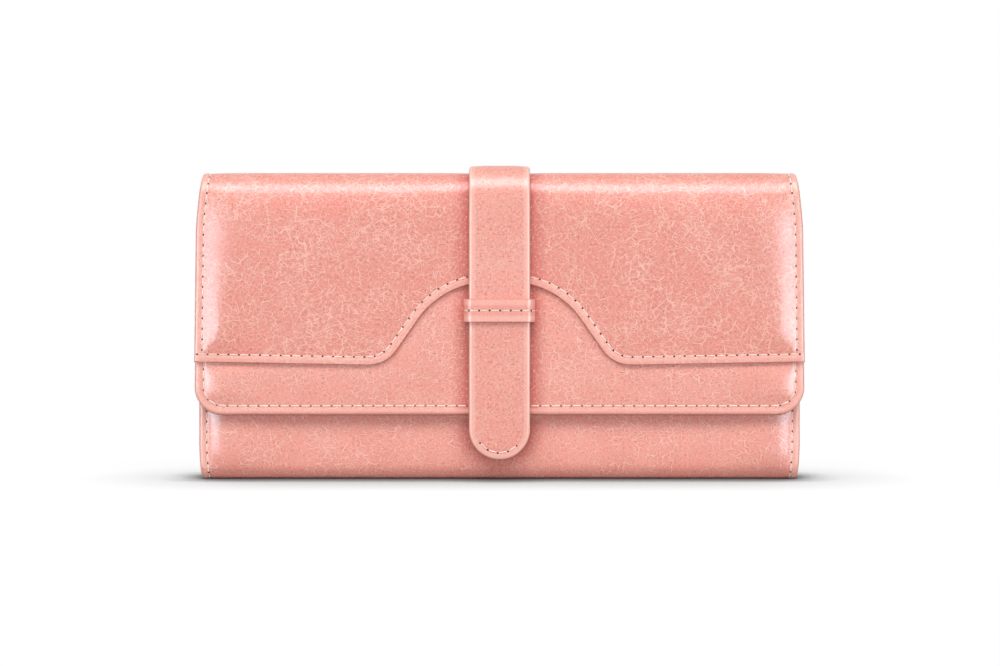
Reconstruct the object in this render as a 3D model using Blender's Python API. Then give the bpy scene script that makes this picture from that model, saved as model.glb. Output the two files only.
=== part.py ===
"""A flap-over clutch wallet: pleated body, zipped coin pocket, and a strap through a keeper.

Metres, +Z up. The wallet stands on its base, its front faces -Y, and the origin is the
middle of the flat underside of the base. Every sheet is drawn as a section or an outline,
pushed out to its width or thickness, and trimmed to shape.
"""
import math

import bmesh
import bpy
from mathutils import Matrix

# Outer size
BODY_WIDTH = 0.1945
BODY_HEIGHT = 0.0990
FRONT_DROP = 0.0150
FIT = 0.0003
OVERRUN = 0.0020

# Walls, from the outside in
COVER = 0.0012
BOARD = 0.0008
LINING = 0.0006
RIM = 0.0010
TOP_BEND = 0.0080
BASE_BEND = 0.0050
BEND_STEP = math.radians(7.5)

# Room inside
SLOT_COUNT = 3
SLOT_LEATHER = 0.0005
SLOT_DROP = 0.0130
SLOT_STEP = 0.0100
SLOT_COLUMNS = 2
NOTCH_RADIUS = 0.0120
NOTCH_DEPTH = 0.0030
BACK_ROOM = 0.0044
FRONT_ROOM = 0.0044
LINING_DROP = 0.0110
BOARD_EASE = 0.0010

# Pleated side walls
GUSSET_LEATHER = 0.0004
GUSSET_DROP = 0.0190
GUSSET_MARGIN = 0.0009
PLEAT_DEPTH = 0.0050
PLEAT_POINTS = 14

# Coin pocket between the two rooms
POCKET_DEPTH = 0.0060
POCKET_END_ROOM = 0.00725
POCKET_WALL = 0.0005
POCKET_DROP = 0.0290

# Zip along the mouth of the coin pocket
TAPE = 0.0005
TAPE_END = 0.0050
TAPE_RISE = 0.0035
TOOTH_PITCH = 0.0020
TOOTH_LENGTH = 0.0015
TOOTH_HEAD = 0.0011
TOOTH_NECK = 0.0008
TOOTH_HEIGHT = 0.0012
TOOTH_GRIP = 0.0004
CHAIN_END = 0.0050
ROW_GAP = 0.0018
STOP_LENGTH = 0.0016
STOP_WALL = 0.0004

# Zip slider and its pull
SLIDER_LENGTH = 0.0085
SLIDER_NOSE = 0.0070
SLIDER_TAIL = 0.0064
SLIDER_PLATE = 0.0008
SLIDER_FLANGE = 0.0004
SLIDER_LIP = 0.0001
SLIDER_UNDER = 0.0043
SLIDER_END = 0.0100
SLIDER_CORNER = 0.0009
POST_LENGTH = 0.0026
BAIL_OPENING = 0.0026
BAIL_RISE = 0.0016
BAIL_BAR = 0.0007
BAIL_WIDTH = 0.0015
PULL_LENGTH = 0.0150
PULL_WIDTH = 0.0046
PULL_THICKNESS = 0.0009
PULL_EYE_LENGTH = 0.0030
PULL_EYE_WIDTH = 0.0025
PULL_WAIST = 0.0034

# Flap, from the outside in
FLAP_ROOM = 0.0012
FLAP_FLARE = 0.0020
FLAP_LOW = 0.0210
FLAP_CORNER = 0.0089
FLAP_TOP_EASE = 0.0020
PANEL = 0.0010
FLAP_BOARD = 0.0007
FLAP_LINING = 0.0005
FLAP_POCKET = 0.0005
FLAP_POCKET_DROP = 0.0270
CORNER_POINTS = 8

# Lower edge of the flap's upper leather, an ogee that rises to an arch under the strap
YOKE_LOW = 0.0370
YOKE_SIDE = 0.0380
ARCH_TOP = 0.0634
ARCH_FLAT = 0.0038
ARCH_RADIUS = 0.0270
FOOT_RADIUS = 0.0110
ARCH_SLOPE = math.radians(55.0)
OGEE_POINTS = 9

# Strap, its keeper and its snap
STRAP = 0.0020
STRAP_WIDTH = 0.0197
STRAP_EDGE = 0.0004
STRAP_REAR_DROP = 0.0370
STRAP_REAR_CORNER = 0.0030
STRAP_TIP_LOW = 0.0065
TIP_POINTS = 12
KEEPER = 0.0012
KEEPER_LOW = 0.0507
KEEPER_HEIGHT = 0.0075
KEEPER_EDGE = 0.0003
KEEPER_CORNER = 0.0010
STRAP_AXIS_DROP = 0.0010
SNAP_HEIGHT = 0.0137
SOCKET_RADIUS = 0.0058
SOCKET_THICKNESS = 0.0022
SOCKET_BORE = 0.0024
SOCKET_DEPTH = 0.0016
STUD_RADIUS = 0.0052
STUD_PIN = 0.0015
STUD_REACH = 0.0012
SNAP_EDGE = 0.0005
ROUND_SIDES = 32

# Finishes: linear colour, roughness, metallic
FINISHES = {
    "pink_leather": ((0.89, 0.40, 0.33), 0.42, 0.0),
    "strap_leather": ((0.90, 0.41, 0.35), 0.42, 0.0),
    "slot_leather": ((0.82, 0.37, 0.31), 0.5, 0.0),
    "lining_cloth": ((0.55, 0.38, 0.28), 0.8, 0.0),
    "board": ((0.35, 0.33, 0.30), 0.9, 0.0),
    "zip_tape": ((0.50, 0.30, 0.25), 0.75, 0.0),
    "snap_metal": ((0.83, 0.66, 0.38), 0.3, 1.0),
}

# Places worked out from the sizes above
FRONT_HEIGHT = BODY_HEIGHT - FRONT_DROP
SLOT_TOP = BODY_HEIGHT - SLOT_DROP
LINING_HEIGHT = BODY_HEIGHT - LINING_DROP
GUSSET_HEIGHT = BODY_HEIGHT - GUSSET_DROP
POCKET_TOP = BODY_HEIGHT - POCKET_DROP
FLAP_POCKET_TOP = BODY_HEIGHT - FLAP_POCKET_DROP
STRAP_REAR_END = BODY_HEIGHT - STRAP_REAR_DROP
FLAP_LOW_WIDTH = BODY_WIDTH + FLAP_FLARE
POCKET_WIDTH = BODY_WIDTH - 2 * POCKET_END_ROOM
TAPE_WIDTH = POCKET_WIDTH - 2 * TAPE_END
CHAIN_LENGTH = TAPE_WIDTH - 2 * CHAIN_END
SLIDER_TRAVEL = CHAIN_LENGTH - 2 * SLIDER_END
GROWTH = COVER + FIT + BOARD + FIT + LINING
SLOT_PITCH = SLOT_LEATHER + FIT
BODY_DEPTH = 2 * GROWTH + SLOT_COUNT * SLOT_PITCH + BACK_ROOM + POCKET_DEPTH + FRONT_ROOM
BACK_Y = BODY_DEPTH / 2
FRONT_Y = -BACK_Y
INNER_BACK = BACK_Y - GROWTH
INNER_FRONT = FRONT_Y + GROWTH
SLOT_FACE = INNER_BACK - SLOT_COUNT * SLOT_PITCH
POCKET_BACK = SLOT_FACE - BACK_ROOM
POCKET_FRONT = POCKET_BACK - POCKET_DEPTH
POCKET_Y = (POCKET_BACK + POCKET_FRONT) / 2
FLAP_STACK = COVER + PANEL + FLAP_BOARD + FLAP_LINING + FLAP_POCKET + 4 * FIT
FLAP_Y = FRONT_Y - FLAP_ROOM - FLAP_STACK
PANEL_Y = FLAP_Y + COVER + FIT
PANEL_DEPTH = PANEL + FIT + FLAP_BOARD + FIT + FLAP_LINING
TOP_INSET = TOP_BEND - math.pi / 4 * (TOP_BEND - COVER / 2)
BASE_INSET = BASE_BEND - math.pi / 4 * (BASE_BEND - COVER / 2)
TOP_MITRE = FIT / 2 / (TOP_BEND - COVER)
BASE_MITRE = FIT / 2 / (BASE_BEND - COVER)
BEND_Z = BODY_HEIGHT - TOP_BEND
FLOOR_TOP = COVER + FIT + LINING
INNER_WIDTH = BODY_WIDTH - 2 * (RIM + FIT)
STRAP_BACK = FLAP_Y - FIT
STRAP_FRONT = STRAP_BACK - STRAP
STRAP_AXIS_Z = KEEPER_LOW - STRAP_AXIS_DROP
PANEL_CLEAR = PANEL_Y - FIT - STRAP_BACK
STRAP_LEAN = math.asin(PANEL_CLEAR / (STRAP_AXIS_Z - FLAP_LOW + FLAP_CORNER / 2))
CHAIN_Z = POCKET_TOP + FIT + TAPE_RISE - TAPE / 2
SLIDER_X = -SLIDER_TRAVEL / 2
SLIDER_TOP = CHAIN_Z + TOOTH_HEIGHT / 2 + FIT + SLIDER_PLATE
PULL_Z = SLIDER_TOP + FIT + PULL_THICKNESS / 2
RIGHT = math.radians(90.0)


def clear_scene():
    """Remove whatever is in the file."""
    for item in list(bpy.data.objects):
        bpy.data.objects.remove(item, do_unlink=True)


def material(name):
    """A plain Principled material of one of the named finishes."""
    colour, roughness, metallic = FINISHES[name]
    finish = bpy.data.materials.new(name)
    finish.use_nodes = True
    shader = finish.node_tree.nodes["Principled BSDF"]
    shader.inputs["Base Color"].default_value = (*colour, 1.0)
    shader.inputs["Roughness"].default_value = roughness
    shader.inputs["Metallic"].default_value = metallic
    finish.diffuse_color = (*colour, 1.0)
    return finish


def as_object(name, shape, finish=None):
    """Turn a bmesh into a named object with one material and outward faces."""
    bmesh.ops.recalc_face_normals(shape, faces=shape.faces[:])
    mesh = bpy.data.meshes.new(name)
    shape.to_mesh(mesh)
    shape.free()
    thing = bpy.data.objects.new(name, mesh)
    bpy.context.scene.collection.objects.link(thing)
    if finish:
        mesh.materials.append(finish)
    return thing


def push(outline, axis, start, end):
    """Push a flat outline from start to end along x, y or z; gives a bmesh.

    The outline is (y, z) points for x, (x, z) points for y and (x, y) points for z.
    """
    place = {
        "x": lambda a, b: (start, a, b),
        "y": lambda a, b: (a, start, b),
        "z": lambda a, b: (a, b, start),
    }[axis]
    step = [0.0, 0.0, 0.0]
    step["xyz".index(axis)] = end - start
    shape = bmesh.new()
    face = shape.faces.new([shape.verts.new(place(a, b)) for a, b in outline])
    grown = bmesh.ops.extrude_face_region(shape, geom=[face])
    moved = [item for item in grown["geom"] if isinstance(item, bmesh.types.BMVert)]
    bmesh.ops.translate(shape, verts=moved, vec=step)
    return shape


def rimmed(name, open_section, rim_section, finish):
    """A leather with one (y, z) section across its width and a deeper one in a rim at each end.

    Both sections list the same points in the same order, so the loops join point to point.
    """
    edge = BODY_WIDTH / 2
    shape = bmesh.new()
    loops = []
    for x, section in [
        (-edge, rim_section),
        (RIM - edge, rim_section),
        (RIM - edge, open_section),
        (edge - RIM, open_section),
        (edge - RIM, rim_section),
        (edge, rim_section),
    ]:
        loops.append([shape.verts.new((x, y, z)) for y, z in section])
    for near, far in zip(loops, loops[1:]):
        for at, start in enumerate(near):
            after = (at + 1) % len(near)
            shape.faces.new((start, near[after], far[after], far[at]))
    shape.faces.new(loops[0])
    shape.faces.new(loops[-1])
    bmesh.ops.remove_doubles(shape, verts=shape.verts[:], dist=FIT / 100)
    leather = as_object(name, shape, finish)
    shade_round(leather)
    return leather


def arc(centre, radius, start, end, count):
    """Points of a round from the start angle to the end angle, both ends included."""
    turns = [start + (end - start) * step / count for step in range(count + 1)]
    return [
        (centre[0] + radius * math.cos(turn), centre[1] + radius * math.sin(turn))
        for turn in turns
    ]


def bend(centre, radius, start, end):
    """A leather bend, in steps of about one bend step."""
    return arc(centre, radius, start, end, max(2, round(abs(end - start) / BEND_STEP)))


def box(low, high):
    """Outline of an upright rectangle between two corners."""
    return [(low[0], low[1]), (high[0], low[1]), (high[0], high[1]), (low[0], high[1])]


def mirrored(right_side):
    """Close an outline drawn on the right, top to bottom, with its left half."""
    left_side = [(-x, z) for x, z in reversed(right_side) if x > 0]
    return right_side + left_side


def trim(thing, tool, operation="DIFFERENCE"):
    """Cut a thing with a tool, keep what both share, or join the two."""
    change = thing.modifiers.new(operation.title(), "BOOLEAN")
    change.operation = operation
    change.solver = "EXACT"
    change.object = tool
    tool.hide_render = True
    tool.display_type = "WIRE"


def ease_edges(thing, width, segments=2):
    """Round the sharp edges of a thing."""
    change = thing.modifiers.new("Eased edges", "BEVEL")
    change.width = width
    change.segments = segments
    change.limit_method = "ANGLE"
    change.angle_limit = math.radians(50.0)


def shade_round(thing):
    """Shade the bends smooth and keep true edges sharp."""
    thing.data.shade_smooth()
    thing.data.set_sharp_from_angle(angle=math.radians(35.0))


def pivot(name, place, lean=0.0):
    """An empty on a joint's axis."""
    empty = bpy.data.objects.new(name, None)
    empty.location = place
    empty.rotation_euler.x = lean
    empty.empty_display_size = COVER
    bpy.context.scene.collection.objects.link(empty)
    return empty


def hang(thing, empty):
    """Make a thing modelled in place move with an empty."""
    thing.parent = empty
    thing.matrix_parent_inverse = Matrix.Translation(empty.location).inverted()


def sheet_wall(name, outer, inner, width, low, high, finish):
    """A flat upright layer between two y planes."""
    outline = box((-width / 2, low), (width / 2, high))
    return as_object(name, push(outline, "y", outer, inner), finish)


def back_line(inset):
    """Line of the back cover at a depth under its outside: crease, back, base, front edge."""
    top = (BACK_Y - TOP_BEND, BEND_Z)
    rear = (BACK_Y - BASE_BEND, BASE_BEND)
    front = (FRONT_Y + BASE_BEND, BASE_BEND)
    return (
        bend(top, TOP_BEND - inset, RIGHT / 2 - TOP_MITRE, 0)
        + bend(rear, BASE_BEND - inset, 0, -RIGHT)
        + bend(front, BASE_BEND - inset, -RIGHT, -RIGHT * 1.5 + BASE_MITRE)
    )


def make_back_cover(finish):
    """Back and base in one leather, with rims turned in over the edges of the board."""
    outer = back_line(0)
    inner = back_line(COVER)

    def deepened(point):
        """Move a point of the flat back to the face of the lining."""
        flat = point[0] > 0 and BASE_BEND - FIT / 2 < point[1] < BEND_Z + FIT / 2
        return (INNER_BACK, point[1]) if flat else point

    rim = [deepened(point) for point in inner]
    return rimmed("back_cover", outer + inner[::-1], outer + rim[::-1], finish)


def make_back_layers(board, cloth):
    """Stiffening board and lining of the back, the lining running on over the base."""
    board_y = BACK_Y - COVER - FIT
    low = BASE_BEND + FIT
    sheet_wall("back_board", board_y, board_y - BOARD, INNER_WIDTH, low, BEND_Z - BOARD_EASE, board)
    outer = INNER_BACK + LINING
    bend_radius = BASE_BEND - COVER - FIT
    corner = (outer - bend_radius, COVER + FIT + bend_radius)
    section = (
        [(outer, LINING_HEIGHT)]
        + bend(corner, bend_radius, 0, -RIGHT)
        + [(FRONT_Y + BASE_BEND, COVER + FIT), (FRONT_Y + BASE_BEND, FLOOR_TOP)]
        + bend(corner, bend_radius - LINING, -RIGHT, 0)
        + [(INNER_BACK, LINING_HEIGHT)]
    )
    lining = push(section, "x", -INNER_WIDTH / 2, INNER_WIDTH / 2)
    shade_round(as_object("back_lining", lining, cloth))


def notched_edge(width, height):
    """Top edge of a card slot from right to left, with a thumb notch over each column."""
    column = width / SLOT_COLUMNS
    half = math.acos(1 - NOTCH_DEPTH / NOTCH_RADIUS)
    points = [(width / 2, height)]
    for place in range(SLOT_COLUMNS):
        middle = width / 2 - column * (place + 1 / 2)
        centre = (middle, height + NOTCH_RADIUS - NOTCH_DEPTH)
        points += arc(centre, NOTCH_RADIUS, -RIGHT + half, -RIGHT - half, CORNER_POINTS)
    return points + [(-width / 2, height)]


def make_card_slots(finish):
    """Stepped card slots, each lower and nearer than the one behind it."""
    low = FLOOR_TOP + FIT + BASE_BEND - COVER
    for number in range(SLOT_COUNT):
        face = INNER_BACK - FIT - number * SLOT_PITCH
        top = SLOT_TOP - number * SLOT_STEP
        outline = notched_edge(INNER_WIDTH, top) + [(-INNER_WIDTH / 2, low), (INNER_WIDTH / 2, low)]
        shape = push(outline, "y", face, face - SLOT_LEATHER)
        as_object(f"card_slot_{number + 1}", shape, finish)


def pleat(start, end):
    """One inward fold of a side wall, a half wave between two (x, y) ends."""
    points = []
    for step in range(PLEAT_POINTS + 1):
        share = step / PLEAT_POINTS
        x = start[0] + (end[0] - start[0]) * share - PLEAT_DEPTH * math.sin(math.pi * share)
        points.append((x, start[1] + (end[1] - start[1]) * share))
    return points


def make_gusset(name, side, finish):
    """Side wall with a fold for each room, passing round the end of the coin pocket."""
    clear = FIT + GUSSET_LEATHER / 2
    outer = BODY_WIDTH / 2 - RIM - GUSSET_MARGIN
    pocket_end = POCKET_WIDTH / 2 + clear
    line = pleat((outer, SLOT_FACE - clear), (pocket_end, POCKET_BACK + clear))
    line += pleat((pocket_end, POCKET_FRONT - clear), (outer, INNER_FRONT + clear))
    low = FLOOR_TOP + FIT + BASE_BEND - COVER
    shape = bmesh.new()
    points = [shape.verts.new((side * x, y, low)) for x, y in line]
    edges = [shape.edges.new(pair) for pair in zip(points, points[1:])]
    grown = bmesh.ops.extrude_edge_only(shape, edges=edges)
    moved = [item for item in grown["geom"] if isinstance(item, bmesh.types.BMVert)]
    bmesh.ops.translate(shape, verts=moved, vec=(0, 0, GUSSET_HEIGHT - low))
    gusset = as_object(name, shape, finish)
    wall = gusset.modifiers.new("Thickness", "SOLIDIFY")
    wall.thickness = GUSSET_LEATHER
    wall.offset = 0.0
    shade_round(gusset)
    return gusset


def make_coin_pocket(finish):
    """A folded pocket, round at its lower fold and open along the top."""
    radius = POCKET_DEPTH / 2
    centre = (POCKET_Y, FLOOR_TOP + FIT + radius)

    def pocket_section(shrink, top):
        """Upright section of the pocket, shrunk all round by one wall."""
        fold = bend(centre, radius - shrink, -2 * RIGHT, 0)
        return fold + [(POCKET_BACK - shrink, top), (POCKET_FRONT + shrink, top)]

    reach = POCKET_WIDTH / 2
    pocket = as_object("coin_pocket", push(pocket_section(0, POCKET_TOP), "x", -reach, reach), finish)
    reach -= POCKET_WALL
    hollow = push(pocket_section(POCKET_WALL, POCKET_TOP + OVERRUN), "x", -reach, reach)
    trim(pocket, as_object("pocket_hollow", hollow))
    shade_round(pocket)
    return pocket


def tooth_outline(x, side, inner):
    """Plan of one zip tooth: a wide head that narrows to the neck gripping the tape."""
    neck = inner + side * TOOTH_LENGTH / 2
    back = inner + side * TOOTH_LENGTH
    return [
        (x - TOOTH_HEAD / 2, inner),
        (x + TOOTH_HEAD / 2, inner),
        (x + TOOTH_NECK / 2, neck),
        (x + TOOTH_NECK / 2, back),
        (x - TOOTH_NECK / 2, back),
        (x - TOOTH_NECK / 2, neck),
    ]


def make_zip_row(name, side, shift, finish):
    """One tape, turned in at the top, with its row of metal teeth fused to its edge."""
    inner = POCKET_Y + side * ROW_GAP / 2
    grip = inner + side * (TOOTH_LENGTH - TOOTH_GRIP)
    outer = POCKET_Y + side * POCKET_DEPTH / 2
    leg = outer - side * TAPE
    low = POCKET_TOP + FIT
    high = low + TAPE_RISE
    section = [(outer, low), (outer, high), (grip, high)]
    section += [(grip, high - TAPE), (leg, high - TAPE), (leg, low)]
    tape = as_object(name, push(section, "x", -TAPE_WIDTH / 2, TAPE_WIDTH / 2), finish)
    teeth = bmesh.new()
    count = round(CHAIN_LENGTH / TOOTH_PITCH)
    for number in range(count):
        x = -CHAIN_LENGTH / 2 + (number + shift) * TOOTH_PITCH
        outline = tooth_outline(x, side, inner)
        tooth = push(outline, "z", CHAIN_Z - TOOTH_HEIGHT / 2, CHAIN_Z + TOOTH_HEIGHT / 2)
        part = bpy.data.meshes.new("tooth")
        tooth.to_mesh(part)
        tooth.free()
        teeth.from_mesh(part)
        bpy.data.meshes.remove(part)
    trim(tape, as_object(name + "_teeth", teeth), "UNION")
    return tape


def make_zip_stop(name, x, finish):
    """A metal staple across both tapes at one end of the chain."""
    half = ROW_GAP / 2 + TOOTH_LENGTH
    low = CHAIN_Z + TAPE / 2 + FIT
    outline = box((x - STOP_LENGTH / 2, POCKET_Y - half), (x + STOP_LENGTH / 2, POCKET_Y + half))
    return as_object(name, push(outline, "z", low, low + STOP_WALL), finish)


def slider_plan(nose, tail, inset=0.0, length=SLIDER_LENGTH):
    """Plan of a slider plate: wide at the nose, narrower at the tail, corners cut."""
    front = length / 2 - inset
    cut = SLIDER_CORNER
    wide = nose / 2 - inset
    narrow = tail / 2 - inset
    right = [
        (SLIDER_X - front, narrow - cut),
        (SLIDER_X - front + cut, narrow),
        (SLIDER_X + front - cut, wide),
        (SLIDER_X + front, wide - cut),
    ]
    return [(x, POCKET_Y + y) for x, y in right] + [(x, POCKET_Y - y) for x, y in reversed(right)]


def make_slider(finish):
    """Two plates joined by a post between the rows, flanges, and a bail on top."""
    lower_top = CHAIN_Z - TOOTH_HEIGHT / 2 - FIT
    upper_low = SLIDER_TOP - SLIDER_PLATE
    plan = slider_plan(SLIDER_NOSE, SLIDER_TAIL)
    slider = as_object("zip_slider", push(plan, "z", upper_low, SLIDER_TOP), finish)
    flange_low = CHAIN_Z + TAPE / 2 + FIT
    lip = slider_plan(SLIDER_NOSE, SLIDER_TAIL, SLIDER_LIP)
    rim = as_object("slider_flanges", push(lip, "z", flange_low, upper_low + SLIDER_PLATE / 2))
    bare = slider_plan(SLIDER_NOSE, SLIDER_TAIL, SLIDER_LIP + SLIDER_FLANGE, 2 * SLIDER_LENGTH)
    channel = push(bare, "z", flange_low - OVERRUN, upper_low + SLIDER_PLATE / 2 + OVERRUN)
    trim(rim, as_object("slider_channel", channel))
    trim(slider, rim, "UNION")
    under = slider_plan(SLIDER_UNDER, SLIDER_UNDER - SLIDER_FLANGE)
    plate = push(under, "z", lower_top - SLIDER_PLATE, lower_top)
    trim(slider, as_object("slider_under", plate), "UNION")
    nose = SLIDER_X + SLIDER_LENGTH / 2 - SLIDER_FLANGE
    width = (ROW_GAP - 2 * FIT) / 2
    post_plan = box((nose - POST_LENGTH, POCKET_Y - width), (nose, POCKET_Y + width))
    post = push(post_plan, "z", lower_top - SLIDER_PLATE / 2, upper_low + SLIDER_PLATE / 2)
    trim(slider, as_object("slider_post", post), "UNION")
    reach = BAIL_OPENING / 2
    bar = BAIL_BAR
    base = SLIDER_TOP - SLIDER_PLATE / 2
    ceiling = SLIDER_TOP + BAIL_RISE
    arch = [
        (SLIDER_X - reach - bar, base),
        (SLIDER_X - reach - bar, ceiling + bar / 2),
        (SLIDER_X - reach - bar / 2, ceiling + bar),
        (SLIDER_X + reach + bar / 2, ceiling + bar),
        (SLIDER_X + reach + bar, ceiling + bar / 2),
        (SLIDER_X + reach + bar, base),
        (SLIDER_X + reach, base),
        (SLIDER_X + reach, ceiling),
        (SLIDER_X - reach, ceiling),
        (SLIDER_X - reach, base),
    ]
    bail = push(arch, "y", POCKET_Y - BAIL_WIDTH / 2, POCKET_Y + BAIL_WIDTH / 2)
    trim(slider, as_object("slider_bail", bail), "UNION")
    return slider


def make_pull(finish):
    """A waisted metal tab whose end bar lies under the bail."""
    bar = PULL_THICKNESS / 2
    eye = bar + PULL_EYE_LENGTH
    tip = PULL_LENGTH - PULL_WIDTH / 2
    side = [
        (-bar, PULL_WIDTH / 2 - bar),
        (0, PULL_WIDTH / 2),
        (eye, PULL_WIDTH / 2),
        (eye + PULL_EYE_LENGTH, PULL_WAIST / 2),
        (tip - PULL_WIDTH, PULL_WAIST / 2),
    ]
    side += arc((tip, 0), PULL_WIDTH / 2, RIGHT, 0, CORNER_POINTS)
    outline = side + [(x, -y) for x, y in reversed(side) if y > 0]
    outline = [(SLIDER_X + x, POCKET_Y + y) for x, y in outline]
    low = PULL_Z - PULL_THICKNESS / 2
    pull = as_object("zip_pull", push(outline, "z", low, low + PULL_THICKNESS), finish)
    near = (SLIDER_X + bar, POCKET_Y - PULL_EYE_WIDTH / 2)
    hole = box(near, (SLIDER_X + eye, POCKET_Y + PULL_EYE_WIDTH / 2))
    trim(pull, as_object("pull_eye", push(hole, "z", low - OVERRUN, low + PULL_THICKNESS + OVERRUN)))
    return pull


def make_front_cover(finish):
    """Front wall with rims turned in round the board on both sides and along the top."""
    centre = (FRONT_Y + BASE_BEND, BASE_BEND)
    start = -RIGHT * 1.5 - BASE_MITRE
    outer = bend(centre, BASE_BEND, start, -2 * RIGHT) + [(FRONT_Y, FRONT_HEIGHT)]
    inner = bend(centre, BASE_BEND - COVER, start, -2 * RIGHT)
    brim = [(INNER_FRONT, FRONT_HEIGHT - RIM), (INNER_FRONT, FRONT_HEIGHT)]
    wall = [inner[-1], (FRONT_Y + COVER, FRONT_HEIGHT - RIM)]
    deep = [(INNER_FRONT, BASE_BEND), (INNER_FRONT, FRONT_HEIGHT - RIM - FIT)]
    open_section = outer + (inner[:-1] + wall + brim)[::-1]
    rim_section = outer + (inner[:-1] + deep + brim)[::-1]
    return rimmed("front_cover", open_section, rim_section, finish)


def make_front_layers(board, cloth):
    """Stiffening board and lining of the front wall."""
    outer = FRONT_Y + COVER + FIT
    top = FRONT_HEIGHT - RIM - FIT
    low = BASE_BEND + FIT
    return [
        sheet_wall("front_board", outer, outer + BOARD, INNER_WIDTH, low, top, board),
        sheet_wall("front_lining", INNER_FRONT - LINING, INNER_FRONT, INNER_WIDTH, low, top, cloth),
    ]


def make_top_cover(finish):
    """The cover leather between the two creases, with a rim at each end."""
    rear = (BACK_Y - TOP_BEND, BEND_Z)
    front = (FLAP_Y + TOP_BEND, BEND_Z)

    def top_line(inset):
        """Line of the top at a depth under its outside, from front to back."""
        return bend(front, TOP_BEND - inset, RIGHT * 1.5 - TOP_MITRE, RIGHT) + bend(
            rear, TOP_BEND - inset, RIGHT, RIGHT / 2 + TOP_MITRE
        )

    def deepened(point):
        """Move a point of the flat top to the face of the lining."""
        flat = front[0] - FIT / 2 < point[0] < rear[0] + FIT / 2
        return (point[0], point[1] - FIT - LINING) if flat else point

    inner = top_line(COVER)
    rim = [deepened(point) for point in inner]
    return rimmed("top_cover", top_line(0) + inner[::-1], top_line(0) + rim[::-1], finish)


def make_top_lining(finish):
    """Lining under the top."""
    high = BODY_HEIGHT - COVER - FIT
    outline = box((FLAP_Y + TOP_BEND, high - LINING), (BACK_Y - TOP_BEND, high))
    return as_object("top_lining", push(outline, "x", -INNER_WIDTH / 2, INNER_WIDTH / 2), finish)


def flap_side(z, inset):
    """Half width of the flap at a height: it widens a little towards its lower edge."""
    share = (BEND_Z - z) / (BEND_Z - FLAP_LOW)
    return (BODY_WIDTH + (FLAP_LOW_WIDTH - BODY_WIDTH) * share) / 2 - inset


def flap_outline(top, inset=0.0):
    """Outline of the flap with rounded lower corners, drawn in by an inset."""
    radius = FLAP_CORNER - inset
    low = FLAP_LOW + inset
    corner = (flap_side(low + radius, inset) - radius, low + radius)
    right = [(flap_side(top, inset), top)]
    right += arc(corner, radius, 0, -RIGHT, CORNER_POINTS)
    return mirrored(right)


def yoke_outline():
    """Outline of the flap's upper leather with its ogee lower edge."""
    above = BODY_HEIGHT + OVERRUN
    arch_centre = (ARCH_FLAT, ARCH_TOP - ARCH_RADIUS)
    arch = arc(arch_centre, ARCH_RADIUS, RIGHT - ARCH_SLOPE, RIGHT, OGEE_POINTS)
    turn = 1 - math.cos(ARCH_SLOPE)
    straight = (ARCH_TOP - YOKE_LOW - (ARCH_RADIUS + FOOT_RADIUS) * turn) / math.tan(ARCH_SLOPE)
    foot_x = ARCH_FLAT + (ARCH_RADIUS + FOOT_RADIUS) * math.sin(ARCH_SLOPE) + straight
    foot_centre = (foot_x, YOKE_LOW + FOOT_RADIUS)
    foot = arc(foot_centre, FOOT_RADIUS, -RIGHT, -RIGHT - ARCH_SLOPE, OGEE_POINTS)
    side = [(flap_side(BEND_Z, 0), above), (flap_side(BEND_Z, 0), BEND_Z)]
    side += [(flap_side(YOKE_SIDE, 0), YOKE_SIDE)]
    return mirrored(side + foot + arch)


def make_yoke(finish):
    """Upper leather of the flap: half the front bend, then flat down to the ogee edge."""
    centre = (FLAP_Y + TOP_BEND, BEND_Z)
    end = YOKE_LOW - OVERRUN
    start = RIGHT * 1.5 + TOP_MITRE
    outer = bend(centre, TOP_BEND, start, 2 * RIGHT) + [(FLAP_Y, end)]
    inner = bend(centre, TOP_BEND - COVER, start, 2 * RIGHT) + [(FLAP_Y + COVER, end)]
    reach = FLAP_LOW_WIDTH / 2 + OVERRUN
    yoke = as_object("flap_yoke", push(outer + list(reversed(inner)), "x", -reach, reach), finish)
    shape = push(yoke_outline(), "y", FLAP_Y - OVERRUN, FLAP_Y + TOP_BEND + OVERRUN)
    trim(yoke, as_object("yoke_shape", shape), "INTERSECT")
    shade_round(yoke)
    return yoke


def make_panel(finish):
    """Lower leather of the flap, its edges turned in, with slits for the keeper's legs."""
    top = BEND_Z - FLAP_TOP_EASE
    panel = as_object("flap_panel", push(flap_outline(top), "y", PANEL_Y, PANEL_Y + PANEL_DEPTH), finish)
    hollow = flap_outline(top + OVERRUN, RIM)
    face = PANEL_Y + PANEL
    trim(panel, as_object("panel_hollow", push(hollow, "y", face, PANEL_Y + PANEL_DEPTH + OVERRUN)))
    for side in (-1, 1):
        inner = side * STRAP_WIDTH / 2
        outer = side * (STRAP_WIDTH / 2 + FIT + KEEPER + FIT)
        low = KEEPER_LOW - FIT
        slit = box((min(inner, outer), low), (max(inner, outer), low + KEEPER_HEIGHT + 2 * FIT))
        cutter = push(slit, "y", PANEL_Y - OVERRUN, face + OVERRUN)
        trim(panel, as_object(f"keeper_slit_{side + 2}", cutter))
    return panel


def make_flap_layers(board, cloth):
    """Board, lining and slip pocket inside the flap's turned edge."""
    top = BEND_Z - FLAP_TOP_EASE
    inset = RIM + FIT
    layers = [
        ("flap_board", FLAP_BOARD, top - FIT, board),
        ("flap_lining", FLAP_LINING, top - FIT, cloth),
        ("flap_pocket", FLAP_POCKET, FLAP_POCKET_TOP, cloth),
    ]
    made = []
    face = PANEL_Y + PANEL + FIT
    for name, thickness, height, finish in layers:
        shape = push(flap_outline(height, inset), "y", face, face + thickness)
        made.append(as_object(name, shape, finish))
        face += thickness + FIT
    return made


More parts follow.
